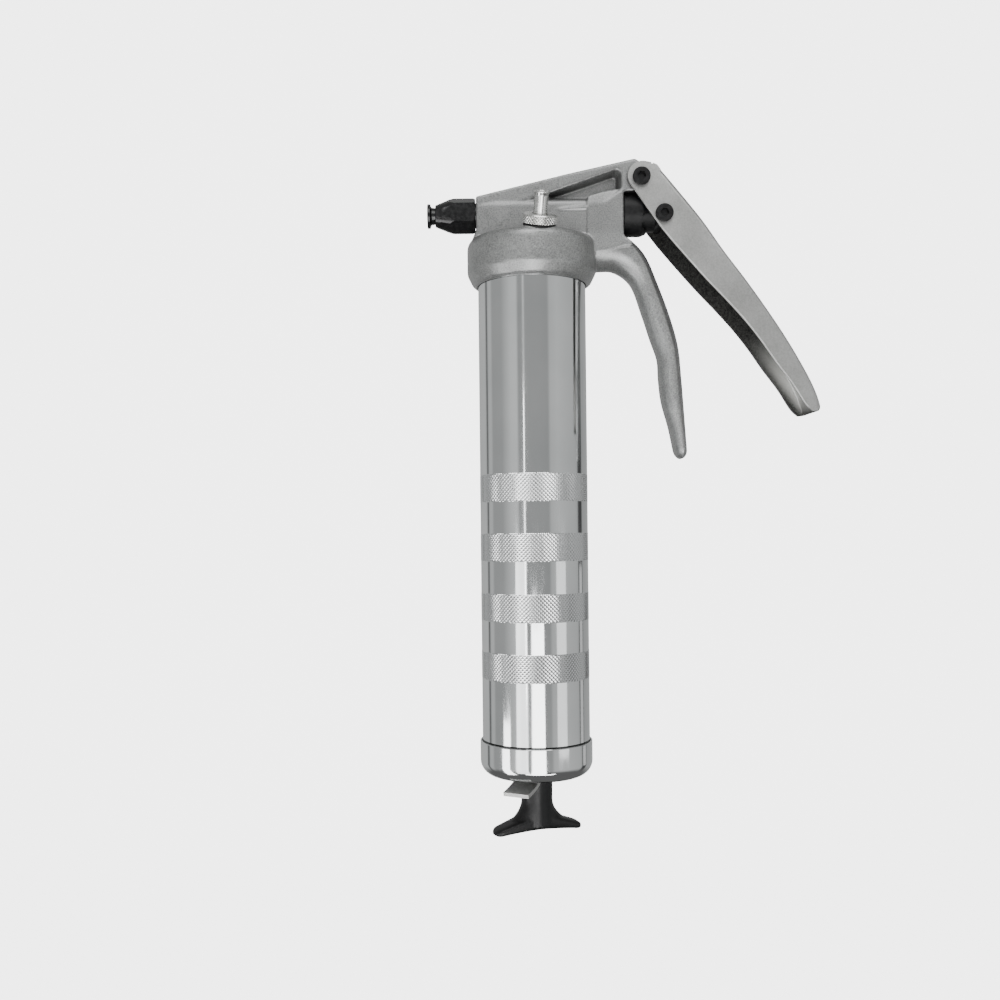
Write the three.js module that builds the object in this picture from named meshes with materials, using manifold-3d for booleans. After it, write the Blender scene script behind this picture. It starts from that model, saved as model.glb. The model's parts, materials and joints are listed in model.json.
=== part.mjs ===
// One-hand pistol-grip grease gun for 400 g cartridges.
// Millimetres, +Z up. The origin is the centre of the barrel cap's flat underside, on the barrel axis.
// The outlet points along -X, the hand lever hangs on the +X side and the bleed valve faces -Y.
import * as THREE from "three";
import { mergeVertices } from "three/addons/utils/BufferGeometryUtils.js";
import Module from "manifold-3d";

const wasm = await Module();
wasm.setup();

// ---- Driving dimensions ----
const GAP = 0.3; // space left between pieces that touch
const ROUND = 40; // facets round a large cylinder
const SMALL_ROUND = 18; // facets round a small cylinder

const BARREL_R = 28.25;
const BARREL_WALL = 1.25;
const BARREL_BOTTOM_Z = 5;
const BARREL_TOP_Z = 274;

const CAP_R = 29.5;
const CAP_HEIGHT = 18;
const CAP_CORNER_R = 6;
const CAP_SHEET = 1.5;
const CAP_FLOOR_Z = 2;
const RECESS_R = 15.2;
const RECESS_ROOF_Z = 7;
const BUSH_HOLE_R = 6.3;

const COLLAR_R = 33.8;
const COLLAR_LIP_Z = 256.3;
const COLLAR_TOP_Z = 280.8;
const HEAD_ROOF_Z = 276.4;
const GASKET_THICKNESS = 1.8;

const PUMP_Z = 294.3; // height of the pump axis, which runs along X
const OUTLET_X = -29;
const BOSS_LEFT_X = 28.8;
const BOSS_RIGHT_X = 47.6;
const HEAD_HALF_WIDTH = 12;
const BODY_HALF_WIDTH = 11.3; // the pump's block
const BODY_OUTLET_HALF_WIDTH = 8.9;
const BODY_BOTTOM_Z = 277;
const BODY_TOP_Z = 300.4;
const BODY_CORNER_R = 3.6;
const RIB_OUTLET_HALF_WIDTH = 7.4;
const RIB_OUTLET_TOP_Z = 302.1;
const TAPER_END_X = 20; // from here to the right the rib and the block keep their full width
const LUG_R = 7.5; // round the pivot
const PUMP_BORE_R = 6.8;
const SPRING_CHAMBER_R = 10.2;
const SPRING_CHAMBER_X = 30;
const THREAD_BORE_R = 11.2;
const THREAD_BORE_X = 40;
const CUP_R = 11.7; // spring cup screwed into the end of the spring chamber
const CUP_BORE_R = 10;
const INLET_X = 4.5; // grease way from the barrel up into the pump
const INLET_R = 2.5;

const PIVOT = { x: 56.3, z: 309.6 };
const LINK_RADIUS = 22.26; // from the lever's pivot to the pin that drives the plunger
const LINK_ANGLE = THREE.MathUtils.degToRad(31.4); // of that pin from straight down, lever open
const LINK = {
  x: PIVOT.x + LINK_RADIUS * Math.sin(LINK_ANGLE),
  z: PIVOT.z - LINK_RADIUS * Math.cos(LINK_ANGLE),
};
const LEVER_TRAVEL = THREE.MathUtils.degToRad(20);
const PIN_R = 3;
const PIN_CLEARANCE = 0.4; // beside the link pin in the crosshead's slot and the cup's notches
const PIN_HEAD_R = 4.55;
const PIN_HEAD_HEIGHT = 2.2;

const LEVER_HALF_WIDTH = 14.3;
const LEVER_SHEET = 2;
const LEVER_END = { x: 57.1, z: 310.2, r: 7.6 }; // round end of the sides, above the pivot

const HANDLE_WIDTH = 19;
const PLUNGER_R = 4;
const CROSSHEAD_R = 9.4;

const ROD_R = 3.5;
const FOLLOWER_Z = 236;

const LATCH_AZIMUTH = THREE.MathUtils.degToRad(243);
const LATCH_REST_TILT = THREE.MathUtils.degToRad(3);
const LATCH_PIVOT_BACK = 12;
const LATCH_PIVOT_Z = 2.4;
const LATCH_WIDTH = 14;
const LATCH_SHEET = 2;

const HANDLE_TURN = THREE.MathUtils.degToRad(20); // T-handle's wings, turned about the rod
const WING_REACH = 25;
const STEM_R = 8.4;
const STEM_TOP_Z = -2;

const VALVE_SEAT = new THREE.Vector3(3, -25, 283.1);
const VALVE_TILT = THREE.MathUtils.degToRad(25);
const VALVE_LEAN = THREE.MathUtils.degToRad(4);
const VALVE_BORE_R = 4.9;
const VALVE_BORE_DEPTH = 5.5;
const VALVE_NUT_R = 8.7;
const VALVE_NUT_HEIGHT = 4.8;
const VALVE_STEM_R = 3.5;
const VALVE_BOSS_R = 10.6;
const VALVE_FACE_DEPTH = 1.8; // of the boss's machined face below the valve's seat plane
const BLEED_HOLE_R = 1.4;

// ---- Materials ----
function metal(color, roughness) {
  return new THREE.MeshStandardMaterial({ color, roughness, metalness: 1 });
}
function polymer(color, roughness) {
  return new THREE.MeshStandardMaterial({ color, roughness, metalness: 0 });
}
const castAluminium = () => metal(0x8d8f8e, 0.55);
const brightPlate = () => metal(0xd2d5d6, 0.12);
const brushedSteel = () => metal(0xa9aaa9, 0.35);
const blackSteel = () => metal(0x17181a, 0.35);
const springSteel = () => metal(0x6d7073, 0.35);
const nickel = () => metal(0xc9cac8, 0.2);
const brass = () => metal(0xb08d4a, 0.35);
const blackPlastic = () => polymer(0x141516, 0.45);
const rubber = () => polymer(0x1b1b1b, 0.8);

// ---- Shape helpers ----
const v2 = (x, y) => new THREE.Vector2(x, y);

// A ring or solid of revolution about +Z from its section, given as [radius, z] corners.
function revolve(section, facets = ROUND) {
  const points = section.map(([r, z]) => v2(r, z));
  if (THREE.ShapeUtils.area(points) < 0) points.reverse();
  const startsOnAxis = points.findIndex((p, i) => {
    const before = points[(i + points.length - 1) % points.length];
    return p.x === 0 && before.x === 0;
  });
  if (startsOnAxis >= 0) {
    points.push(...points.splice(0, startsOnAxis));
  } else {
    points.push(points[0].clone());
  }
  return new THREE.LatheGeometry(points, facets).rotateX(Math.PI / 2);
}

// The same, about the X axis: the section is given as [radius, x] corners.
function revolveX(section, facets = SMALL_ROUND) {
  return revolve(section, facets).rotateY(Math.PI / 2);
}

function diskSection(radius, low, high) {
  return [[0, low], [radius, low], [radius, high], [0, high]];
}

function ringSection(inner, outer, low, high) {
  return [[inner, low], [outer, low], [outer, high], [inner, high]];
}

// A rod along Y through (x, z), from y = low to y = high.
function rodAlongY(radius, x, z, low, high, facets = SMALL_ROUND) {
  return new THREE.CylinderGeometry(radius, radius, high - low, facets).translate(x, (low + high) / 2, z);
}

// A hexagonal prism along Z with flats across X, of the given width across flats.
function hexAlongZ(acrossFlats, low, high) {
  const corner = acrossFlats / 2 / Math.cos(Math.PI / 6);
  return new THREE.CylinderGeometry(corner, corner, high - low, 6)
    .rotateX(Math.PI / 2)
    .translate(0, 0, (low + high) / 2);
}

function shapeOf(corners) {
  return new THREE.Shape(corners.map(([x, y]) => v2(x, y)));
}

// A plate in the XZ plane, centred on y = 0, with edges rounded by "edge" millimetres.
function plateXZ(shape, width, edge = 0, curveSegments = 8) {
  const rounding = {
    bevelEnabled: edge > 0,
    bevelThickness: edge,
    bevelSize: edge,
    bevelOffset: -edge,
    bevelSegments: 2,
  };
  const depth = width - 2 * edge;
  return new THREE.ExtrudeGeometry(shape, { depth, curveSegments, ...rounding })
    .translate(0, 0, -depth / 2)
    .rotateX(Math.PI / 2);
}

// A plate in the XY plane from z = low to z = high.
function plateXY(shape, low, high) {
  return new THREE.ExtrudeGeometry(shape, { depth: high - low, bevelEnabled: false }).translate(0, 0, low);
}

// A compression spring about +Z whose wire fills the height from low to high, with closed end turns.
class SpringPath extends THREE.Curve {
  constructor(radius, wire, turns, low, high) {
    super();
    Object.assign(this, { radius, wire, turns, low, high });
  }
  getPoint(t, target = new THREE.Vector3()) {
    const closed = Math.min(1, this.turns / 4);
    const turn = t * this.turns;
    const endPitch = this.wire * 1.05;
    const bottom = this.low + this.wire / 2;
    const top = this.high - this.wire / 2;
    const openPitch = (top - bottom - 2 * closed * endPitch) / (this.turns - 2 * closed);
    const lowPart = Math.min(turn, closed) * endPitch;
    const middle = Math.min(Math.max(turn - closed, 0), this.turns - 2 * closed) * openPitch;
    const highPart = Math.max(turn - this.turns + closed, 0) * endPitch;
    const angle = turn * 2 * Math.PI;
    return target.set(
      this.radius * Math.cos(angle),
      this.radius * Math.sin(angle),
      bottom + lowPart + middle + highPart,
    );
  }
}

function spring(radius, wire, turns, low, high, stepsPerTurn = 10) {
  const sides = 6;
  const section = new THREE.Shape(
    Array.from({ length: sides }, (_, i) => {
      const angle = (2 * Math.PI * i) / sides;
      return v2((wire / 2) * Math.cos(angle), (wire / 2) * Math.sin(angle));
    }),
  );
  return new THREE.ExtrudeGeometry(section, {
    steps: Math.round(turns * stepsPerTurn),
    extrudePath: new SpringPath(radius, wire, turns, low, high),
  });
}

// Turns a closed geometry into a solid that can be joined and cut.
function solid(geometry) {
  const bare = geometry.index ? geometry.toNonIndexed() : geometry.clone();
  bare.deleteAttribute("normal");
  bare.deleteAttribute("uv");
  const merged = mergeVertices(bare, 1e-4);
  return new wasm.Manifold(
    new wasm.Mesh({
      numProp: 3,
      vertProperties: merged.attributes.position.array,
      triVerts: new Uint32Array(merged.index.array),
    }),
  );
}

function join(...geometries) {
  return geometries.map(solid).reduce((whole, piece) => whole.add(piece));
}

function cut(whole, ...geometries) {
  return geometries.map(solid).reduce((rest, tool) => rest.subtract(tool), whole);
}

function geometryOf(body) {
  const mesh = body.getMesh();
  const geometry = new THREE.BufferGeometry();
  geometry.setAttribute("position", new THREE.BufferAttribute(mesh.vertProperties, 3));
  geometry.setIndex(new THREE.BufferAttribute(mesh.triVerts, 1));
  geometry.computeVertexNormals();
  return geometry;
}

const gun = new THREE.Group();

function addNode(name, geometry, material, parent = gun) {
  const mesh = new THREE.Mesh(geometry, material);
  mesh.name = name;
  parent.add(mesh);
  return mesh;
}

// ---- Frames for the pieces that stand at an angle ----
const pumpAxis = new THREE.Group(); // pieces revolved about X, at the pump's height
pumpAxis.position.z = PUMP_Z;
const valveAxis = new THREE.Group(); // +Z leads out of the valve
valveAxis.position.copy(VALVE_SEAT);
valveAxis.rotation.set(VALVE_TILT, VALVE_LEAN, 0, "YXZ");
valveAxis.updateMatrix();
const latchSide = new THREE.Group(); // +X points along the latch's tab
latchSide.rotation.z = LATCH_AZIMUTH;
const latchPivot = new THREE.Group();
latchPivot.position.set(-LATCH_PIVOT_BACK, 0, LATCH_PIVOT_Z);
latchPivot.rotation.y = LATCH_REST_TILT;
latchSide.add(latchPivot);
gun.add(pumpAxis, valveAxis, latchSide);

// ---- Head casting ----
function collar() {
  const section = [
    [0, COLLAR_LIP_Z + 2],
    [BARREL_R + 1.6, COLLAR_LIP_Z],
    [BARREL_R + 3.2, COLLAR_LIP_Z + 0.8],
    [COLLAR_R - 1, COLLAR_LIP_Z + 3.6],
    [COLLAR_R, COLLAR_LIP_Z + 7],
    [COLLAR_R, COLLAR_TOP_Z - 6.5],
    [COLLAR_R - 1.2, COLLAR_TOP_Z - 3.2],
    [COLLAR_R - 3.8, COLLAR_TOP_Z - 0.9],
    [COLLAR_R - 6.8, COLLAR_TOP_Z],
    [0, COLLAR_TOP_Z + 1],
  ];
  return revolve(section, 60);
}

// Seen from above, the rib and the pump's block widen from the outlet to the right.
function taperedPlan(outletHalf, fullHalf) {
  const farX = PIVOT.x + 2 * LUG_R;
  return shapeOf([
    [OUTLET_X, outletHalf],
    [OUTLET_X, -outletHalf],
    [TAPER_END_X, -fullHalf],
    [farX, -fullHalf],
    [farX, fullHalf],
    [TAPER_END_X, fullHalf],
  ]);
}

// The pump's block: a slab with rounded top corners, from the outlet to the spring cup.
function pumpBody() {
  const cornerY = BODY_HALF_WIDTH - BODY_CORNER_R;
  const cornerZ = BODY_TOP_Z - BODY_CORNER_R;
  const outline = new THREE.Shape();
  outline.moveTo(-BODY_HALF_WIDTH, BODY_BOTTOM_Z);
  outline.lineTo(BODY_HALF_WIDTH, BODY_BOTTOM_Z);
  outline.absarc(cornerY, cornerZ, BODY_CORNER_R, 0, Math.PI / 2);
  outline.absarc(-cornerY, cornerZ, BODY_CORNER_R, Math.PI / 2, Math.PI);
  const depth = BOSS_RIGHT_X - OUTLET_X;
  const slab = new THREE.ExtrudeGeometry(outline, { depth, curveSegments: 5, bevelEnabled: false })
    .rotateX(Math.PI / 2)
    .rotateZ(Math.PI / 2)
    .translate(OUTLET_X, 0, 0);
  const plan = taperedPlan(BODY_OUTLET_HALF_WIDTH, BODY_HALF_WIDTH);
  return solid(slab).intersect(solid(plateXY(plan, BODY_BOTTOM_Z - 1, BODY_TOP_Z + 1)));
}

// The top rib rises from the outlet to the lever's pivot lug and narrows towards the outlet.
function topRib() {
  const outline = new THREE.Shape();
  outline.moveTo(OUTLET_X, PUMP_Z - 6);
  outline.lineTo(OUTLET_X, RIB_OUTLET_TOP_Z);
  outline.lineTo(53.5, 320);
  outline.lineTo(58.4, PIVOT.z + LUG_R - 0.2);
  outline.absarc(PIVOT.x, PIVOT.z, LUG_R, Math.PI * 0.37, -Math.PI * 0.39, true);
  outline.lineTo(54.5, 303.2);
  outline.lineTo(BOSS_RIGHT_X, 303);
  outline.lineTo(BOSS_RIGHT_X, PUMP_Z - 6);
  const side = solid(plateXZ(outline, 2 * HEAD_HALF_WIDTH));
  const plan = plateXY(taperedPlan(RIB_OUTLET_HALF_WIDTH, HEAD_HALF_WIDTH), PUMP_Z - 20, 330);
  return side.intersect(solid(plan));
}

function lowerWeb() {
  const outline = shapeOf([
    [-32.6, BODY_BOTTOM_Z],
    [OUTLET_X, 284.6],
    [OUTLET_X, PUMP_Z],
    [BOSS_RIGHT_X, PUMP_Z],
    [BOSS_RIGHT_X, BODY_BOTTOM_Z],
  ]);
  return plateXZ(outline, 17);
}

function gripBoss() {
  const outline = shapeOf([
    [BOSS_LEFT_X, 266],
    [32, 264.4],
    [46, 262.6],
    [54, 255],
    [63.6, 255],
    [61.6, 264.5],
    [58.4, 270.4],
    [54.2, 275.4],
    [50.8, 278.6],
    [BOSS_RIGHT_X, 280.2],
    [BOSS_RIGHT_X, 302],
    [BOSS_LEFT_X, 302],
  ]);
  return plateXZ(outline, 2 * HEAD_HALF_WIDTH, 1.6);
}

function fixedHandle() {
  const edge = 2.2;
  const outline = new THREE.Shape();
  outline.moveTo(34.3, 278);
  outline.lineTo(50, 279);
  outline.splineThru([
    v2(56.6, 274.1),
    v2(62.4, 264.8),
    v2(71.1, 242.3),
    v2(76.1, 224.5),
    v2(77.9, 206.7),
    v2(79.4, 185.9),
    v2(80.7, 169.6),
  ]);
  outline.lineTo(79.4, 165);
  outline.lineTo(75.8, 164.6);
  outline.lineTo(74.1, 168.2);
  outline.splineThru([
    v2(71.2, 181.6),
    v2(67.6, 194.9),
    v2(66.2, 206.8),
    v2(65.6, 217.2),
    v2(62.1, 227.6),
    v2(57.8, 241),
    v2(52, 256.7),
    v2(43.1, 263.7),
    v2(34.3, 264.2),
  ]);
  return plateXZ(outline, HANDLE_WIDTH, edge, 2);
}

function valveBoss() {
  return revolve(diskSection(VALVE_BOSS_R, -16, -VALVE_FACE_DEPTH), 32).applyMatrix4(valveAxis.matrix);
}

// Weight-saving pocket in one face of the rib; side is -1 for the front and 1 for the back.
function ribPocket(side) {
  const depth = 4;
  const outline = shapeOf([
    [12, 305.2],
    [30, 302.9],
    [46.4, 306.6],
    [46.4, 314.6],
    [44.6, 315.8],
  ]);
  const centreY = side * (HEAD_HALF_WIDTH - depth / 2 + 0.5);
  return plateXZ(outline, depth + 1).translate(0, centreY, 0);
}

function headCasting() {
  const blank = join(collar(), lowerWeb(), gripBoss(), fixedHandle(), valveBoss());
  const skirtBore = revolve(diskSection(BARREL_R + GAP, COLLAR_LIP_Z - 12, HEAD_ROOF_Z), 60);
  const pumpBore = revolveX(diskSection(PUMP_BORE_R, OUTLET_X - 1, SPRING_CHAMBER_X + 1));
  const springChamber = revolveX(diskSection(SPRING_CHAMBER_R, SPRING_CHAMBER_X, BOSS_RIGHT_X + 1), 36);
  const threadBore = revolveX(diskSection(THREAD_BORE_R, THREAD_BORE_X, BOSS_RIGHT_X + 1), 36);
  const inlet = revolve(diskSection(INLET_R, HEAD_ROOF_Z - 1, PUMP_Z), SMALL_ROUND);
  inlet.translate(INLET_X, 0, 0);
  const valveBore = revolve(diskSection(VALVE_BORE_R, -VALVE_BORE_DEPTH, 1), SMALL_ROUND);
  const bleedHole = revolve(diskSection(BLEED_HOLE_R, -VALVE_BORE_DEPTH - 6, 0), SMALL_ROUND);
  const valveFace = diskSection(VALVE_NUT_R + 2 * GAP, -VALVE_FACE_DEPTH, 30);
  const valveClearance = revolve(valveFace, 32);
  for (const bore of [valveBore, bleedHole, valveClearance]) {
    bore.applyMatrix4(valveAxis.matrix);
  }
  const pivotHole = rodAlongY(PIN_R + GAP, PIVOT.x, PIVOT.z, -20, 20);
  const cupRelief = revolveX(diskSection(CUP_R + GAP, BOSS_RIGHT_X, 80), 36);
  for (const bore of [pumpBore, springChamber, threadBore, cupRelief]) {
    bore.translate(0, 0, PUMP_Z);
  }
  return geometryOf(
    cut(
      blank.add(pumpBody()).add(topRib()),
      skirtBore,
      pumpBore,
      springChamber,
      threadBore,
      cupRelief,
      inlet,
      valveBore,
      bleedHole,
      valveClearance,
      pivotHole,
      ribPocket(-1),
      ribPocket(1),
    ),
  );
}
addNode("head_casting", headCasting(), castAluminium());

// ---- Pump: liner, packing, check valve and outlet coupler, all on the pump axis ----
const LINER_LEFT_X = -2;
const LINER_RIGHT_X = 25;
const LINER_R = PUMP_BORE_R - GAP;

function pumpLiner() {
  const section = ringSection(PLUNGER_R + GAP, LINER_R, LINER_LEFT_X, LINER_RIGHT_X);
  const inlet = new THREE.CylinderGeometry(INLET_R, INLET_R, 2 * LINER_R, SMALL_ROUND)
    .rotateX(Math.PI / 2)
    .translate(INLET_X, 0, -LINER_R);
  return geometryOf(cut(solid(revolveX(section)), inlet));
}
addNode("pump_liner", pumpLiner(), springSteel(), pumpAxis);

const packing = ringSection(PLUNGER_R + GAP, LINER_R, LINER_RIGHT_X + GAP, SPRING_CHAMBER_X - GAP);
addNode("plunger_seal", revolveX(packing), rubber(), pumpAxis);

const SEAT_LEFT_X = LINER_LEFT_X - GAP - 3.5;
const CHECK_SEAT_R = 2.2;
const seatSection = ringSection(CHECK_SEAT_R, LINER_R, SEAT_LEFT_X, LINER_LEFT_X - GAP);
addNode("check_seat", revolveX(seatSection), brass(), pumpAxis);

const BALL_R = 3.2;
const BALL_X = SEAT_LEFT_X - 2.65;
const ball = new THREE.SphereGeometry(BALL_R, 14, 8).translate(BALL_X, 0, 0);
addNode("check_ball", ball, springSteel(), pumpAxis);

const SHANK_END_X = -21.8;
const checkSpring = spring(2.6, 0.8, 5, SHANK_END_X + GAP, BALL_X - BALL_R - GAP, 10).rotateY(Math.PI / 2);
addNode("check_spring", checkSpring, springSteel(), pumpAxis);

const COUPLER_HEX = 16.4;
const CONE_START_X = -40.8;
const CONE_TIP_R = 5.6;
const CONE_END_X = -50.4;
const COUPLER_BORE_R = 4.6;
const MOUTH_END_X = -38.2;
const CHANNEL_R = 2.2;
const JAW_BORE_R = 3.2;
const JAW_LEFT_X = -46.4;
const JAW_RIGHT_X = -41.9;

// Hexagon, cone and threaded shank of the outlet coupler, bored through for the grease.
function couplerBody() {
  const hexCorner = COUPLER_HEX / Math.sqrt(3);
  const hex = new THREE.CylinderGeometry(hexCorner, hexCorner, OUTLET_X - GAP - CONE_END_X, 6)
    .rotateZ(Math.PI / 2)
    .translate((OUTLET_X - GAP + CONE_END_X) / 2, 0, 0);
  const cone = revolveX([
    [0, CONE_END_X],
    [CONE_TIP_R, CONE_END_X],
    [hexCorner, CONE_START_X],
    [hexCorner + 1, CONE_START_X + 2],
    [hexCorner + 1, OUTLET_X - GAP - 1],
    [hexCorner - 0.8, OUTLET_X - GAP],
    [0, OUTLET_X - GAP],
  ], 36);
  const shank = revolveX(diskSection(LINER_R, OUTLET_X - 2, SHANK_END_X));
  const mouth = revolveX(diskSection(COUPLER_BORE_R, CONE_END_X - 1, MOUTH_END_X));
  const channel = revolveX(diskSection(CHANNEL_R, MOUTH_END_X - 1, SHANK_END_X + 1));
  return geometryOf(cut(solid(hex).intersect(solid(cone)).add(solid(shank)), mouth, channel));
}
addNode("coupler_body", couplerBody(), blackSteel(), pumpAxis);

const TIP_X = -54.6;
const TIP_BORE_R = 3.3;
const TIP_R = 6.3;
const tipSection = [
  [TIP_BORE_R, TIP_X],
  [TIP_R, TIP_X],
  [TIP_R, TIP_X + 1.2],
  [COUPLER_BORE_R - GAP, TIP_X + 1.9],
  [COUPLER_BORE_R - GAP, JAW_LEFT_X - GAP],
  [TIP_BORE_R, JAW_LEFT_X - GAP],
];
addNode("coupler_mouthpiece", revolveX(tipSection, 32), blackSteel(), pumpAxis);

// A spring collet with three slots, which grips the head of a grease nipple.
function couplerJaws() {
  const slot = { length: 2.5, width: 0.9 };
  const ring = solid(revolveX(ringSection(JAW_BORE_R, COUPLER_BORE_R - GAP, JAW_LEFT_X, JAW_RIGHT_X)));
  const slots = [0, 1, 2].map((i) =>
    new THREE.BoxGeometry(2 * slot.length, slot.width, 6)
      .translate(JAW_LEFT_X, 0, 3)
      .rotateX((i * 2 * Math.PI) / 3),
  );
  return geometryOf(cut(ring, ...slots));
}
addNode("coupler_jaws", couplerJaws(), springSteel(), pumpAxis);
const lipSeal = ringSection(1.3, COUPLER_BORE_R - GAP, JAW_RIGHT_X + GAP, MOUTH_END_X - GAP);
addNode("coupler_seal", revolveX(lipSeal), rubber(), pumpAxis);

const CUP_LEFT_X = BOSS_RIGHT_X + GAP;
const CUP_RIGHT_X = 59.6;

// Spring cup. Its rim is notched on both sides for the link pin, which reaches furthest in
// when the lever is closed.
function glandCup() {
  const corner = 1.4;
  const section = [
    [CUP_BORE_R, THREAD_BORE_X + GAP],
    [THREAD_BORE_R - GAP, THREAD_BORE_X + GAP],
    [THREAD_BORE_R - GAP, CUP_LEFT_X],
    [CUP_R, CUP_LEFT_X],
    [CUP_R, CUP_RIGHT_X - corner],
    [CUP_R - corner, CUP_RIGHT_X],
    [CUP_BORE_R, CUP_RIGHT_X],
  ];
  const closed = LINK_ANGLE - LEVER_TRAVEL;
  const pin = { x: PIVOT.x + LINK_RADIUS * Math.sin(closed), z: PIVOT.z - LINK_RADIUS * Math.cos(closed) };
  const notchR = PIN_R + 2 * PIN_CLEARANCE;
  const notchZ = pin.z - PUMP_Z + PIN_CLEARANCE;
  const notchEnd = rodAlongY(notchR, pin.x, notchZ, -20, 20);
  const notch = new THREE.BoxGeometry(10, 40, 2 * notchR).translate(pin.x + 5, 0, notchZ);
  return geometryOf(cut(solid(revolveX(section, 36)), notchEnd, notch));
}
addNode("gland_cup", glandCup(), blackSteel(), pumpAxis);

const CROSSHEAD_X = 54;
const returnSpring = spring(8, 1.6, 6, SPRING_CHAMBER_X + GAP, CROSSHEAD_X - GAP).rotateY(Math.PI / 2);
addNode("return_spring", returnSpring, springSteel(), pumpAxis);

// Plunger rod with a round crosshead; the lever's link screw drives it in a slot open at the bottom.
function plunger() {
  const section = [
    [0, 8.5],
    [PLUNGER_R - 0.5, 8.5],
    [PLUNGER_R, 9],
    [PLUNGER_R, CROSSHEAD_X],
    [CROSSHEAD_R, CROSSHEAD_X],
    [CROSSHEAD_R, 68],
    [5.5, 74],
    [0, 74],
  ];
  const slotHalf = PIN_R + PIN_CLEARANCE;
  const slotTop = LINK.z - PUMP_Z;
  const linkX = LINK.x;
  const roundEnd = rodAlongY(slotHalf, linkX, slotTop, -20, 20);
  const slot = new THREE.BoxGeometry(2 * slotHalf, 40, 20).translate(linkX, 0, slotTop - 10);
  return geometryOf(cut(solid(revolveX(section, 32)), roundEnd, slot));
}
addNode("plunger", plunger(), blackSteel(), pumpAxis);

// ---- Lever: a channel pressed from sheet, open towards the fixed handle ----
// The back of the channel follows this curve, from the pivot end to the tip.
const leverBack = new THREE.SplineCurve([
  v2(65.6, 315.2),
  v2(74.6, 304.2),
  v2(87.9, 287.5),
  v2(98.7, 271.9),
  v2(110.4, 256.2),
  v2(121.3, 240.6),
  v2(131.4, 225),
  v2(140.3, 209.4),
  v2(145.3, 199),
  v2(147.9, 190.9),
  v2(147.2, 188.3),
]);
// The free edge of the sides, from the tip back to the pivot.
const leverFront = new THREE.SplineCurve([
  v2(143.6, 188),
  v2(139.6, 191.9),
  v2(132.9, 202.6),
  v2(124.8, 213.5),
  v2(117.2, 224.6),
  v2(109, 235.2),
  v2(99.6, 245.8),
  v2(90, 256),
  v2(80.8, 266.4),
  v2(72, 276.7),
  v2(64.6, 286.1),
  v2(51.1, 305.6),
]);

function offsetCurve(curve, distance, divisions) {
  return Array.from({ length: divisions + 1 }, (_, i) => {
    const t = i / divisions;
    const tangent = curve.getTangent(t);
    return curve.getPoint(t).add(v2(tangent.y, -tangent.x).multiplyScalar(distance));
  });
}

function lever() {
  const divisions = 20;
  const back = leverBack.getPoints(divisions);
  const front = leverFront.getPoints(divisions);
  const frontEnd = front.at(-1);
  const startAngle = Math.atan2(frontEnd.y - LEVER_END.z, frontEnd.x - LEVER_END.x);
  const endAngle = THREE.MathUtils.degToRad(50);
  const pivotEnd = new THREE.Path();
  pivotEnd.absarc(LEVER_END.x, LEVER_END.z, LEVER_END.r, startAngle, endAngle, true);
  const round = pivotEnd.getPoints(10).slice(1);
  const corner = v2(64.2, 316.3);
  const sides = new THREE.Shape([...back, ...front, ...round, corner]);
  const blank = solid(plateXZ(sides, 2 * LEVER_HALF_WIDTH, 0.6));
  const inner = offsetCurve(leverBack, LEVER_SHEET, divisions);
  const hollow = new THREE.Shape([
    v2(58.2, 330),
    ...inner,
    v2(150, 180),
    v2(100, 180),
    v2(20, 300),
    v2(20, 330),
  ]);
  const hollowWidth = 2 * (LEVER_HALF_WIDTH - LEVER_SHEET);
  return geometryOf(
    cut(
      blank,
      plateXZ(hollow, hollowWidth),
      rodAlongY(PIN_R + GAP, PIVOT.x, PIVOT.z, -20, 20),
      rodAlongY(PIN_R + GAP, LINK.x, LINK.z, -20, 20),
    ),
  );
}
addNode("lever", lever(), brushedSteel());

// A hex-socket pin through the lever, with its head on the -Y side.
function socketPin(place) {
  const endY = 18.4;
  const socketAcross = 4;
  const socketDepth = 1.6;
  const faceY = -LEVER_HALF_WIDTH - GAP;
  const headY = faceY - PIN_HEAD_HEIGHT;
  const section = [
    [0, 0],
    [PIN_HEAD_R - 0.4, 0],
    [PIN_HEAD_R, 0.4],
    [PIN_HEAD_R, PIN_HEAD_HEIGHT],
    [PIN_R, PIN_HEAD_HEIGHT],
    [PIN_R, endY - headY],
    [0, endY - headY],
  ];
  const body = solid(revolve(section, SMALL_ROUND));
  const pin = cut(body, hexAlongZ(socketAcross, -1, socketDepth));
  return geometryOf(pin).rotateX(-Math.PI / 2).translate(place.x, headY, place.z);
}

function hexNut(place) {
  const across = 10;
  const height = 4.2;
  const bore = revolve(diskSection(PIN_R + GAP, -1, height + 1), SMALL_ROUND);
  const nut = cut(solid(hexAlongZ(across, 0, height)), bore);
  return geometryOf(nut).rotateX(-Math.PI / 2).translate(place.x, LEVER_HALF_WIDTH + GAP, place.z);
}
addNode("pivot_screw", socketPin(PIVOT), blackSteel());
addNode("pivot_nut", hexNut(PIVOT), blackSteel());
addNode("link_screw", socketPin(LINK), blackSteel());
addNode("link_nut", hexNut(LINK), blackSteel());

// ---- Barrel, cap and gasket ----
const tubeSection = ringSection(BARREL_R - BARREL_WALL, BARREL_R, BARREL_BOTTOM_Z, BARREL_TOP_Z);
addNode("barrel_tube", revolve(tubeSection, 60), brightPlate());

const gasketLow = BARREL_TOP_Z + GAP;
const gasketSection = ringSection(BARREL_R - 3.75, BARREL_R, gasketLow, gasketLow + GASKET_THICKNESS);
addNode("head_gasket", revolve(gasketSection), rubber());

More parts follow.
